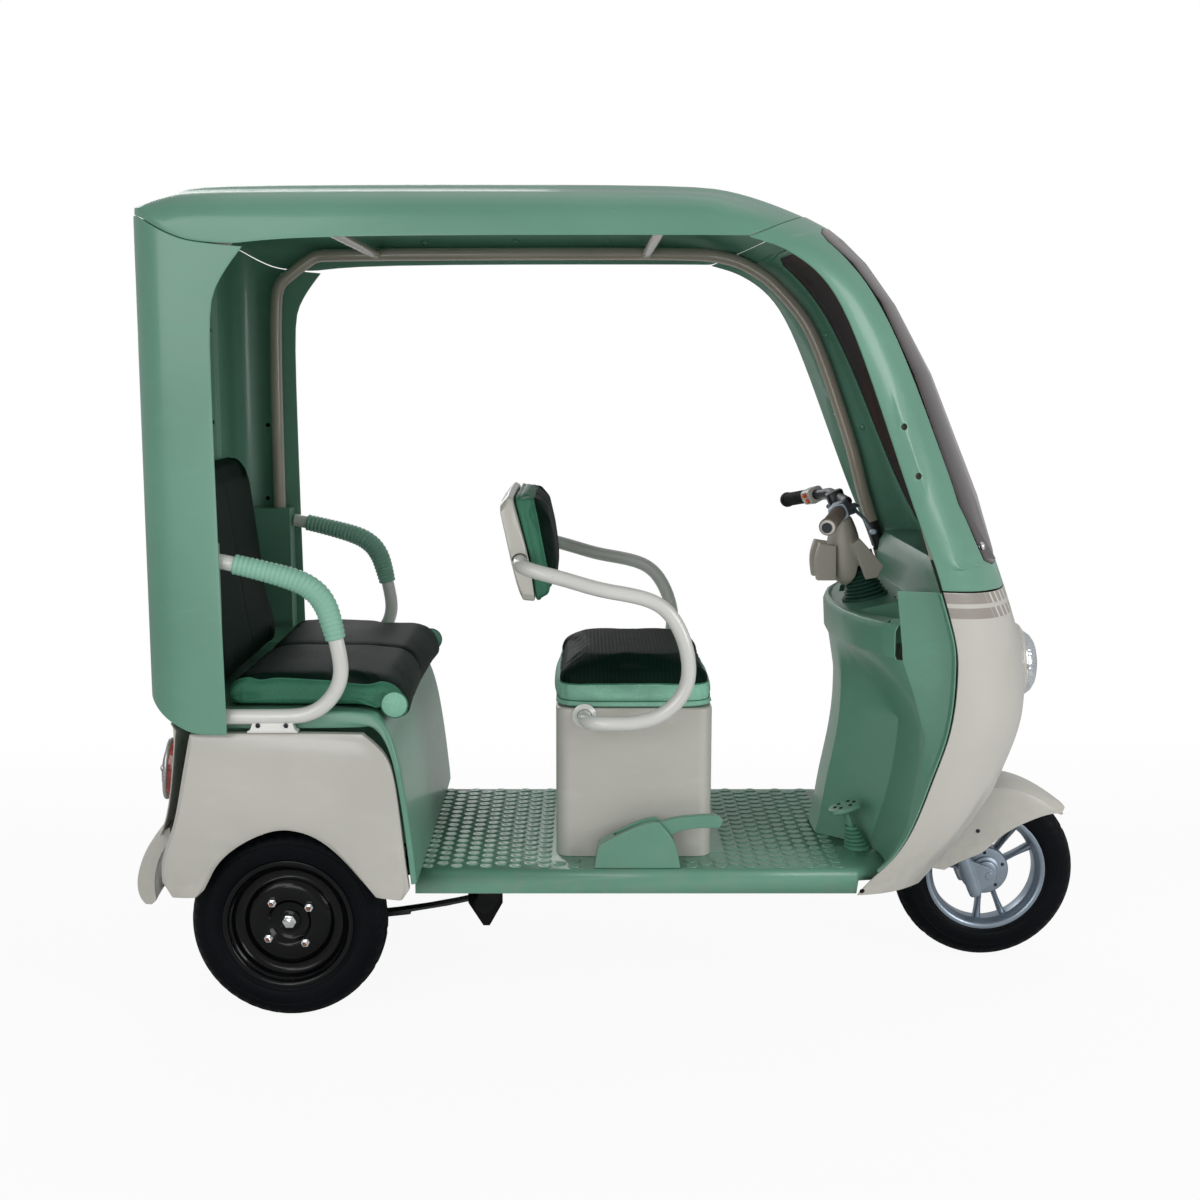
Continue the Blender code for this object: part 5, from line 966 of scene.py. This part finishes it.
def make_armrest(side, word):
    """Bench armrest of bent tube on a screwed bracket."""
    y = side * 0.439
    route = eased(smooth_route([(x, y, z) for x, z in ARMREST], 5))
    rod = tube(route, 0.0160, 22)
    rings = []
    for z, low, high, half in ((0.6406, -0.792, -0.688, 0.0120), (0.6440, -0.792, -0.688, 0.0125),
                               (0.6470, -0.786, -0.694, 0.0110), (0.6700, -0.778, -0.702, 0.0085)):
        rings.append([Vector((x, y + half * turn, z)) for x, turn in ((low, -1), (high, -1), (high, 1),
                                                                      (low, 1))])
    finished(f"armrest_tube_{word}", join(rod, skin(rings)), white_paint, "body",
             (f"armrest_{word}",), crease=50.0)
    screws = [(Vector((x, y + side * 0.0108, 0.6560)), (0, side, 0)) for x in (-0.770, -0.712)]
    placed_copies(f"bracket_screws_{word}", dome_screw(0.0052, 0.0030), screws, steel, "body")
    length = 0.0
    sleeve = []
    for before, point in zip(route, route[1:]):
        length += (point - before).length
        if 0.030 < length < 0.3195:
            sleeve.append(point)
    ribbed(f"sleeve_{word}", sleeve, pale_green, "body", "green_plastic", 0.0195, 0.0036, 0.0016, 29,
           (f"arm_sleeve_{word}",))


def make_roof_frame():
    """Side tubes of the roof with two cross tubes and dark feet."""
    tubes = []
    feet = []
    for side, _ in SIDES:
        route = eased(smooth_route([(x, side * y, z) for x, y, z in ROOF_TUBE], 6), rounds=12)
        tubes.append(tube(route, 0.0158, 20))
        low = [point for point in route if point.x > 0.5 and point.z < 1.0]
        feet.append(tube(low, 0.0164, 20))
    for x in (-0.62, 0.06):
        tubes.append(tube([Vector((x, y, 1.6685)) for y in (-0.44, 0.0, 0.44)], 0.0125, 16, up=(0, 0, 1)))
    finished("roof_tubes", join(*tubes), taupe_paint, "body", ("roof_frame",), crease=60.0)
    finished("roof_tube_feet", join(*feet), black_plastic, "body", crease=60.0)


for side, word in SIDES:
    make_armrest(side, word)
make_arm_frame()
make_roof_frame()


# Handlebar and controls
BAR_BEND = Vector((0.490, 0.130, 1.093))
BAR_END = Vector((0.4115, 0.352, 1.056))
STEER_UP = Vector((-0.350207, 0.0, 0.936672))
STEER_AHEAD = Vector((0.936672, 0.0, 0.350207))
STEER_FOOT = Vector((0.8065, 0.0, 0.21))


def mirrored(point, side):
    """Point of the left half, or its mirror image on the right."""
    return Vector((point.x, side * point.y, point.z))


def bar_frame(side):
    """Start, heading, forward and up directions of the straight half of the handlebar."""
    bend = mirrored(BAR_BEND, side)
    end = mirrored(BAR_END, side)
    heading = (end - bend).normalized()
    level = Vector((bend.x - end.x, 0.0, bend.z - end.z)).normalized()
    forward = (level - heading * level.dot(heading)).normalized()
    return bend, heading, forward, Vector((-level.z, 0.0, level.x))


def on_bar(side, reach, forward=0.0, up=0.0, start=0.0885):
    """Point outwards along the bar from the pod's middle, forwards and up."""
    bend, heading, ahead, over = bar_frame(side)
    return bend + heading * (start + reach) + ahead * forward + over * up


def on_steering(distance, side_step, ahead):
    """Point up the steering axis, to the side and ahead of it."""
    return STEER_FOOT + STEER_UP * distance + STEER_AHEAD * ahead + Vector((0.0, side_step, 0.0))


def make_bar():
    """Bent handlebar with its split clamp."""
    corners = [mirrored(BAR_END, -1), mirrored(BAR_BEND, -1), BAR_BEND, BAR_END]
    rod = tube(bent(corners, 0.05, 8), 0.011, 18, up=(0, 0, 1))
    levels = ((0.9223, 0.021, 0.019), (0.9240, 0.022, 0.020), (0.9520, 0.022, 0.020), (0.9540, 0.020, 0.018))
    rings = [[on_steering(distance, wide * math.copysign(abs(sine) ** 0.5, sine),
                          0.006 + deep * math.copysign(abs(cosine) ** 0.5, cosine))
              for cosine, sine in circle(20, 0.5)] for distance, wide, deep in levels]
    finished("handlebar_tube", join(rod, skin(rings)), steel, "steering", ("handlebar",),
             crease=45.0)


def make_grip(side, node, finish):
    """Rubber grip with fine rings and a pale flared end."""
    _, heading, _, _ = bar_frame(side)
    start = 0.113
    profile = [(0.0117, 0.0), (0.0160, 0.0), (0.0170, 0.0015), (0.0170, 0.0060)]
    for ring in range(22):
        reach = 0.009 + ring * 0.0042
        profile += [(0.0166, reach), (0.0166, reach + 0.0022), (0.0158, reach + 0.0027),
                    (0.0158, reach + 0.0037)]
    profile += [(0.0170, 0.1030), (0.0182, 0.1065), (0.0187, 0.1100), (0.0187, 0.1150), (0.0180, 0.1182),
                (0.0150, 0.1198), (0.0117, 0.1200)]
    finished(f"{node}_rubber", turned(profile, on_bar(side, 0.0, start=start), heading, 40), finish,
             BODY[node], (node,), crease=35.0)
    cap = turned([(0.0, 0.1215), (0.0120, 0.1214), (0.0150, 0.1204), (0.0162, 0.1190), (0.0110, 0.1150),
                  (0.0, 0.1150)], on_bar(side, 0.0, start=start), heading, 32)
    finished(f"{node}_cap", cap, cream, BODY[node], crease=40.0)


def make_lever(side, word):
    """Brake lever with a flat blade and a ball end."""
    points = [(-0.042, 0.020, -0.012), (-0.024, 0.028, -0.0225), (-0.0065, 0.0384, -0.0316),
              (0.035, 0.0535, -0.044), (0.066, 0.0640, -0.0535), (0.0705, 0.0655, -0.0550),
              (0.076, 0.0675, -0.0565)]
    route = smooth_route([on_bar(side, *point) for point in points], 6)

    def swell(share):
        if share > 0.86:
            ball = (share - 0.93) / 0.07
            return 0.72 + 0.75 * math.sqrt(max(0.0, 1.0 - ball * ball))
        return 0.65 + 0.25 * share

    blade = tube(route, 0.0060, 16, size=swell, tall=0.78, up=(0, 0, 1))
    finished(f"lever_blade_{word}", blade, alloy, f"lever_{word}", (f"brake_lever_{word}",),
             crease=60.0)


make_bar()
make_grip(-1, "throttle_grip", grip_rubber)
make_grip(1, "grip_left", black_rubber)
for side, word in SIDES:
    make_lever(side, word)


pedal_green = rubbery("pedal_green_rubber", srgb(92, 146, 124), 0.50, 0.2)
PEDAL_PAD = Vector((0.4927, -0.180, 0.407))
PEDAL_AXIS = Vector((0.299983, 0.0, -0.953945))
FLOOR_TOP = 0.312


def make_boots():
    """Ribbed boots round the steering stem and the pedal rod."""
    base = Vector((0.557, 0.0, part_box("steering_boot")[0][2] + 0.0115))
    top = Vector((0.540, 0.0, 0.925))
    shelf_up = Vector((-0.214862, 0.0, 0.976644))
    ribs = [(0.0, 0.0530), (0.035, 0.0535), (0.08, 0.0530)]
    for number in range(7):
        low = 0.115 + number * 0.125
        swell = 0.049 - 0.0030 * number
        ribs += [(low, swell - 0.0075), (low + 0.030, swell - 0.0015), (low + 0.055, swell),
                 (low + 0.080, swell - 0.0015), (low + 0.105, swell - 0.0070)]
    ribs += [(1.0, 0.0275), (1.0, 0.0185), (0.0, 0.0265)]
    rings = []
    for cosine, sine in circle(48):
        ring = []
        for share, radius in ribs:
            up = shelf_up.lerp(STEER_UP, share).normalized()
            forward = Vector((up.z, 0.0, -up.x))
            ring.append(base.lerp(top, share) + forward * (radius * cosine)
                        + Vector((0.0, radius * sine, 0.0)))
        rings.append(ring)
    finished("stem_boot", skin(rings, closed=True), boot_rubber, "body", ("steering_boot",),
             crease=50.0)
    levels = [(0.0003, 0.0285), (0.0050, 0.0290), (0.0065, 0.0280)]
    for number in range(5):
        low = 0.0085 + number * 0.0085
        swell = 0.0262 - 0.0024 * number
        levels += [(low, swell - 0.0050), (low + 0.0025, swell - 0.0006), (low + 0.0045, swell),
                   (low + 0.0065, swell - 0.0008)]
    levels += [(0.0520, 0.0152), (0.0520, 0.0106), (0.0003, 0.0130)]
    rings = []
    for cosine, sine in circle(40):
        ring = []
        for height, radius in levels:
            middle = PEDAL_PAD + PEDAL_AXIS * ((FLOOR_TOP + height - PEDAL_PAD.z) / PEDAL_AXIS.z)
            ring.append(middle + Vector((radius * cosine, radius * sine, 0.0)))
        rings.append(ring)
    finished("pedal_rod_boot", skin(rings, closed=True), pedal_green, "body", ("pedal_boot",),
             crease=50.0)


make_boots()


# Floor studs, screws and clips
def bare(x, y):
    """True where neither the seat box, the hand brake nor the pedal boot stands on the floor."""
    seat_box = -0.174 < x < 0.203 and abs(y) < 0.261
    handbrake = -0.092 < x < 0.132 and -0.350 < y < -0.264
    return not (seat_box or handbrake or math.hypot(x - 0.515, y + 0.180) < 0.050)


studs = []
for row in range(29):
    for column in range(19):
        x = -0.438 + row * 0.0320
        y = -0.3145 + column * 0.0370 + (0.0185 if row % 2 else 0.0)
        if abs(y) < 0.318 and x < 0.468 and bare(x, y):
            studs.append((Vector((x, y, 0.3121)), (0, 0, 1)))
placed_copies("floor_studs", floor_stud(), studs, green, "body")

pad_ahead = Vector((0.953945, 0.0, 0.299983))
pedal_studs = []
for cosine, sine in circle(6):
    place = PEDAL_PAD - PEDAL_AXIS * 0.0058 + pad_ahead * (0.022 * cosine) + Vector((0.0, 0.019 * sine, 0.0))
    pedal_studs.append((place, -PEDAL_AXIS))
placed_copies("pedal_studs", dome_screw(0.0048, 0.0024), pedal_studs, black_rubber, "pedal")

screen_screws = [((0.7439, side * 0.3258, 1.0157), (0.869, side * 0.369, 0.331)) for side, _ in SIDES]
placed_copies("screen_screws", dome_screw(0.0092, 0.0060), screen_screws, chrome, "body")
panel_screws = []
for side, _ in SIDES:
    panel_screws.append(((0.5057, side * 0.3475, 0.2671), (0.169, side * 0.928, -0.333)))
    panel_screws += [((-0.994, side * 0.2134, z), (1, 0, 0)) for z in (1.4762, 1.2560)]
    panel_screws += [((x, side * 0.474, z), (0, -side, 0)) for x, z in ((-0.9124, 1.2396), (-0.9178, 1.0509))]
placed_copies("panel_screws", dome_screw(0.0058, 0.0030), panel_screws, black_rubber, "body")
roof_clips = []
for side, _ in SIDES:
    for x, z in ((-0.4999, 1.6992), (-0.2700, 1.7016), (-0.0356, 1.7039)):
        roof_clips.append(((x, side * 0.4674, z), (0, -side * 0.757, -0.654)))
    roof_clips.append(((0.5138, side * 0.4095, 1.4678), (-0.74, -side * 0.591, -0.322)))
    roof_clips.append(((0.6088, side * 0.4005, 1.2373), (-0.68, -side * 0.698, -0.225)))
placed_copies("roof_clips", dome_screw(0.0095, 0.0070), roof_clips, green, "body")
placed_copies("fender_screw", dome_screw(0.0050, 0.0026),
              [((0.8183, side * 0.0848, 0.3231), (0, side, 0)) for side, _ in SIDES], steel, "front_slider")


def make_tail_rings():
    """Silver ring and cross bar on each tail lamp."""
    top = Vector((-0.950, 0.0, 0.640))
    low = Vector((-0.968, 0.0, 0.460))
    up = (top - low).normalized()
    out = Vector((-up.z, 0.0, up.x))
    for side, word in SIDES:
        centre = low.lerp(top, 0.47) + Vector((0.0, side * 0.372, 0.0))
        rings = []
        for cosine, sine in circle(48):
            spoke = up * (0.0635 * sine) + Vector((0.0, 0.0400 * cosine, 0.0))
            ray = spoke.normalized()
            rings.append([centre + spoke + out * 0.0165 + ray * (0.0038 * along) + out * (0.0046 * above)
                          for along, above in circle(10)])
        bar = [centre + up * 0.004 + out * (0.0205 + 0.0095 * (1.0 - (k / 5.0) ** 2))
               + Vector((0.0, 0.0076 * k, 0.0)) for k in range(-5, 6)]
        finished(f"tail_ring_{word}", join(skin(rings, closed=True), tube(bar, 0.0042, 12, up=(0, 0, 1))),
                 lamp_silver, "body", crease=60.0)


make_tail_rings()


# Cushions and pads
mid_leather = leather("mid_green_leather", srgb(58, 118, 93), shine=0.3)
piping_finish = leather("piping_leather", srgb(70, 122, 100))
SHRINK = 0.006
PRESSURE = 4.0
FRAMES = 20
SEAM_DEPTH = 0.0026
SEAM_WIDTH = 0.0045
PIPING_RADIUS = 0.0019


def blown(name, node, voxel, cap, hold):
    """Mesh of a cushion: the solid a little smaller, remeshed, and blown up by a cloth run."""
    body = linked(name, mesh_of(name, merged(node, False)))
    step = body.modifiers.new("Remesh", "REMESH")
    step.mode = "VOXEL"
    step.voxel_size = voxel
    graph = bpy.context.evaluated_depsgraph_get()
    fine = bpy.data.meshes.new_from_object(body.evaluated_get(graph))
    body.modifiers.clear()
    body.data = fine
    shell = shell_of(fine)
    for _ in range(12):
        bmesh.ops.smooth_vert(shell, verts=shell.verts, factor=0.5, use_axis_x=True, use_axis_y=True,
                              use_axis_z=True)
    shell.normal_update()
    for vert in shell.verts:
        if not hold(vert.co):
            vert.co -= vert.normal * SHRINK
    shell.to_mesh(fine)
    shell.free()
    start = [vert.co.copy() for vert in fine.vertices]
    group = body.vertex_groups.new(name="rest")
    held = [vert.index for vert in fine.vertices if hold(vert.co)]
    group.add(held, 1.0, "REPLACE")
    cloth = body.modifiers.new("Cloth", "CLOTH")
    settings = cloth.settings
    settings.quality = 5
    settings.mass = 0.3
    settings.tension_stiffness = 12.0
    settings.compression_stiffness = 12.0
    settings.shear_stiffness = 6.0
    settings.bending_stiffness = 1.2
    settings.use_pressure = True
    settings.uniform_pressure_force = PRESSURE
    settings.effector_weights.gravity = 0.0
    if held:
        settings.vertex_group_mass = "rest"
    cloth.collision_settings.use_collision = False
    cloth.collision_settings.use_self_collision = False
    cloth.point_cache.frame_start = 1
    cloth.point_cache.frame_end = FRAMES
    scene = bpy.context.scene
    for moment in range(1, FRAMES + 1):
        scene.frame_set(moment)
    graph = bpy.context.evaluated_depsgraph_get()
    done = bpy.data.meshes.new_from_object(body.evaluated_get(graph))
    scene.frame_set(1)
    for vert, before in zip(done.vertices, start):
        move = vert.co - before
        if move.length > cap:
            vert.co = before + move * (cap / move.length)
    bpy.data.objects.remove(body)
    return done


def seamed(mesh, planes):
    """Draw the skin in along planes of (point, normal, keep) where a seam runs."""
    shell = shell_of(mesh)
    shell.normal_update()
    for vert in shell.verts:
        for point, normal, keep in planes:
            gap = abs((vert.co - Vector(point)).dot(Vector(normal)))
            if gap < 3.0 * SEAM_WIDTH and keep(vert.co):
                vert.co -= vert.normal * SEAM_DEPTH * math.exp(-((gap / SEAM_WIDTH) ** 2))
    shell.to_mesh(mesh)
    shell.free()


def cut(shell, point, normal, snap):
    """Run new edges through a bmesh along a plane."""
    return bmesh.ops.bisect_plane(shell, geom=shell.verts[:] + shell.edges[:] + shell.faces[:],
                                  plane_co=point, plane_no=normal, dist=snap)["geom_cut"]


def split_at(mesh, cuts):
    """Run new edges along planes, so that two finishes can meet in a clean line."""
    shell = shell_of(mesh)
    for point, normal in cuts:
        cut(shell, point, normal, 0.0012)
    shell.to_mesh(mesh)
    shell.free()


def cut_loops(mesh, point, normal):
    """Closed lines where a plane cuts a mesh."""
    shell = shell_of(mesh)
    edges = {item for item in cut(shell, point, normal, 0.0) if isinstance(item, bmesh.types.BMEdge)}
    loops = []
    while edges:
        line = list(edges.pop().verts)
        while True:
            onward = next((e for e in line[-1].link_edges if e in edges), None)
            if onward is None:
                break
            edges.discard(onward)
            line.append(onward.other_vert(line[-1]))
        loops.append([vert.co.copy() for vert in line])
    shell.free()
    return [loop for loop in loops if len(loop) > 40]


def piping(name, loops, body):
    """Piped seams along closed lines."""
    parts = []
    for loop in loops:
        ring = loop[:-1] if (loop[0] - loop[-1]).length < 1e-4 else loop
        for _ in range(6):
            ring = [(ring[k - 1] + ring[k] * 2 + ring[(k + 1) % len(ring)]) * 0.25 for k in range(len(ring))]
        ring = ring[::2]
        rings = []
        count = len(ring)
        across = (ring[1] - ring[-1]).normalized().orthogonal().normalized()
        for k in range(count):
            ahead = (ring[(k + 1) % count] - ring[k - 1]).normalized()
            across = (across - ahead * across.dot(ahead)).normalized()
            over = across.cross(ahead)
            rings.append([ring[k] + (across * cosine + over * sine) * PIPING_RADIUS
                          for cosine, sine in circle(8)])
        parts.append(lapped(rings))
    if parts:
        finished(name, join(*parts), piping_finish, body, crease=60.0)


def lapped(rings):
    """Closed tube whose last ring is matched to its first by the least turn."""
    count = len(rings[0])
    best = min(range(count), key=lambda turn: sum((rings[-1][k] - rings[0][(k + turn) % count]).length
                                                  for k in range(count)))
    shell = bmesh.new()
    rows = [[shell.verts.new(point) for point in ring] for ring in rings]
    for row, points in enumerate(rows):
        following = rows[(row + 1) % len(rows)]
        turn = best if following is rows[0] else 0
        for k in range(count):
            after = (k + 1) % count
            shell.faces.new((points[k], points[after], following[(after + turn) % count],
                             following[(k + turn) % count]))
    return faced_out(shell)


def cushion(name, node, finish, second, choose, cap, hold, seams, drawn, pipes=(), voxel=0.006):
    """Stuffed cushion with two finishes that meet at its seams, more drawn-in lines and piping; the second
    finish can be a painted sheen of the first.
    """
    mesh = blown(name, node, voxel, cap, hold)
    low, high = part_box(node)
    for vert in mesh.vertices:
        for axis, (under, over) in enumerate(((0.002, 0.002), (0.002, 0.002), (0.0, 0.006))):
            vert.co[axis] = min(max(vert.co[axis], low[axis] - under), high[axis] + over)
    seamed(mesh, drawn)
    split_at(mesh, seams)
    mesh.shade_smooth()
    made = adopted(name, mesh, finish, BODY[node], (node,))
    mesh.materials.append(second.material)
    for face in mesh.polygons:
        face.material_index = 1 if choose(face.center) else 0
    rounded(made, 1)
    for number, (point, normal) in enumerate((*seams, *pipes)):
        piping(f"{name}_piping_{number}", cut_loops(mesh, point, normal), BODY[node])


def everywhere(_):
    """Seams without an end."""
    return True


def level(z):
    """Plane at a height."""
    return (0, 0, z), (0, 0, 1)


def upright(y):
    """Plane along the vehicle."""
    return (0, y, 0), (0, 1, 0)


CUSHION_SEAM = 0.7000
CUSHION_FOOT = 0.6640
BENCH_SEAM = 0.3740
BENCH_PAD_SEAM = 0.3160
PAD_FACING = Vector((0.981, 0, 0.193))
PAD_SEAM = Vector((-0.183, 0, 0.98))
PAD_BACK = Vector((-0.2122, 0, 0.98))

# The driver cushion's side below the seam takes the mint leather: painted sheen, the lit side of the same
# dark green leather.
cushion("driver_cushion_stuffed", "driver_cushion", ribbed_leather, mint_sheen_leather,
        lambda centre: centre.z < CUSHION_SEAM, 0.012, lambda place: place.z < 0.657,
        [level(CUSHION_SEAM)], [(*level(CUSHION_SEAM), everywhere), (*level(CUSHION_FOOT), everywhere)],
        [level(CUSHION_FOOT)])
cushion("driver_pad_stuffed", "driver_backrest_pad", dark_leather, mid_leather,
        lambda centre: (centre - PAD_SEAM).dot(PAD_FACING) < 0.0, 0.010,
        lambda place: (place - PAD_BACK).dot(PAD_FACING) < 0.0, [(PAD_SEAM, PAD_FACING)],
        [(PAD_SEAM, PAD_FACING, everywhere)], voxel=0.005)
cushion("bench_cushion_stuffed", "rear_cushion", dark_leather, mid_leather,
        lambda centre: abs(centre.y) > BENCH_SEAM, 0.012,
        lambda place: place.z < 0.690 and place.x < -0.53,
        [upright(-BENCH_SEAM), upright(BENCH_SEAM)],
        [(*upright(0), lambda place: place.z > 0.66), (*level(0.7050), lambda place: abs(place.y) > 0.38)],
        voxel=0.007)
cushion("bench_pad_stuffed", "rear_backrest_pad", dark_leather, mid_leather,
        lambda centre: abs(centre.y) > BENCH_PAD_SEAM, 0.010, lambda place: place.x < -0.978,
        [upright(-BENCH_PAD_SEAM), upright(BENCH_PAD_SEAM)], [(*upright(0), lambda place: place.x > -0.975)],
        voxel=0.007)


def make_bolster_ends():
    """Round piped ends of the bench cushion's front roll."""
    for side, word in SIDES:
        centre = (-0.4925, side * 0.4020, 0.6905)
        dome = turned([(0.0, 0.0065), (0.010, 0.0062), (0.020, 0.0048), (0.0262, 0.0026), (0.0268, -0.002),
                       (0.0, -0.004)], centre, (0, side, 0), 40)
        finished(f"roll_end_{word}", dome, mint_sheen_leather, "rear_seat", crease=60.0)
        ring = turned([(0.0272 + 0.0018 * cosine, 0.0012 + 0.0018 * sine) for cosine, sine in circle(10)],
                      centre, (0, side, 0), 48)
        finished(f"roll_piping_{word}", ring, piping_finish, "rear_seat", crease=70.0)


make_bolster_ends()


# Floor, light and camera
def make_stage():
    """Plain pale floor that keeps the shadow and shows white elsewhere."""
    shell = bmesh.new()
    bmesh.ops.create_grid(shell, x_segments=2, y_segments=2, size=12.0)
    mesh = mesh_of("floor", shell)
    mesh.transform(Matrix.Translation((0.0, 0.0, -0.001)))
    floor = linked("floor", mesh)
    paint = bpy.data.materials.new("pale_floor")
    paint.use_nodes = True
    tree = paint.node_tree
    shader = tree.nodes["Principled BSDF"]
    shader.inputs["Base Color"].default_value = (0.80, 0.80, 0.79, 1.0)
    shader.inputs["Roughness"].default_value = 0.85
    seen = make_node(tree, "ShaderNodeLightPath", output="Is Camera Ray")
    glow = make_node(tree, "ShaderNodeEmission", None, {"Color": (1.0, 1.0, 1.0, 1.0), "Strength": 1.0})
    mixer = tree.nodes.new("ShaderNodeMixShader")
    across, depth, _ = split_axes(tree)
    far = depth.step(0.7, 2.6).math("MAXIMUM", across.math("ABSOLUTE").step(1.6, 3.2))
    plug(tree, mixer.inputs[0], seen * (far * 0.07 + 0.93))
    tree.links.new(shader.outputs[0], mixer.inputs[1])
    tree.links.new(glow.socket, mixer.inputs[2])
    tree.links.new(mixer.outputs[0], tree.nodes["Material Output"].inputs["Surface"])
    mesh.materials.append(paint)


def make_world():
    """Soft surroundings for the light, plain white for the camera, metal and glass."""
    world = bpy.data.worlds.new("plain_studio")
    bpy.context.scene.world = world
    world.use_nodes = True
    tree = world.node_tree
    background = tree.nodes["Background"]
    seen, glossy, through = [make_node(tree, "ShaderNodeLightPath", output=f"Is {ray} Ray")
                             for ray in ("Camera", "Glossy", "Transmission")]
    shown = seen.math("MAXIMUM", through).math("MAXIMUM", glossy * 0.50)
    plug(tree, background.inputs["Strength"], shown.math("MAXIMUM", 0.35))
    background.inputs["Color"].default_value = (1.0, 1.0, 1.0, 1.0)


def lamp(name, place, aim, size, power):
    """Soft area lamp aimed at a point."""
    data = bpy.data.lights.new(name, "AREA")
    data.shape = "RECTANGLE"
    data.size, data.size_y = size
    data.energy = power
    made = linked(name, data)
    made.location = place
    made.rotation_euler = (Vector(aim) - Vector(place)).to_track_quat("-Z", "Y").to_euler()


def make_camera():
    """Camera at the height, distance and angle of the photograph."""
    data = bpy.data.cameras.new("camera")
    data.sensor_width = 36.0
    data.lens = 48.25
    data.shift_x = 0.01237
    made = linked("camera", data)
    made.location = (-0.0935, -3.70, 1.3965)
    made.rotation_euler = (math.radians(90.0 - 8.363), 0.0, 0.0)
    bpy.context.scene.camera = made


make_stage()
make_world()
lamp("key", (-2.3, -4.2, 2.3), (0.0, 0.0, 0.8), (2.4, 2.0), 44.0)
lamp("low", (-1.0, -3.6, 0.8), (0.55, 0.0, 0.55), (0.9, 0.9), 9.0)
lamp("front", (3.4, -2.4, 2.0), (0.2, 0.0, 0.8), (2.0, 2.0), 66.0)
lamp("top", (0.0, 0.6, 4.2), (0.0, 0.0, 0.8), (3.0, 3.0), 12.0)
lamp("back", (-1.5, 3.4, 2.4), (0.0, 0.0, 0.8), (2.5, 2.0), 36.0)
make_camera()
bpy.context.scene.view_settings.view_transform = "Standard"
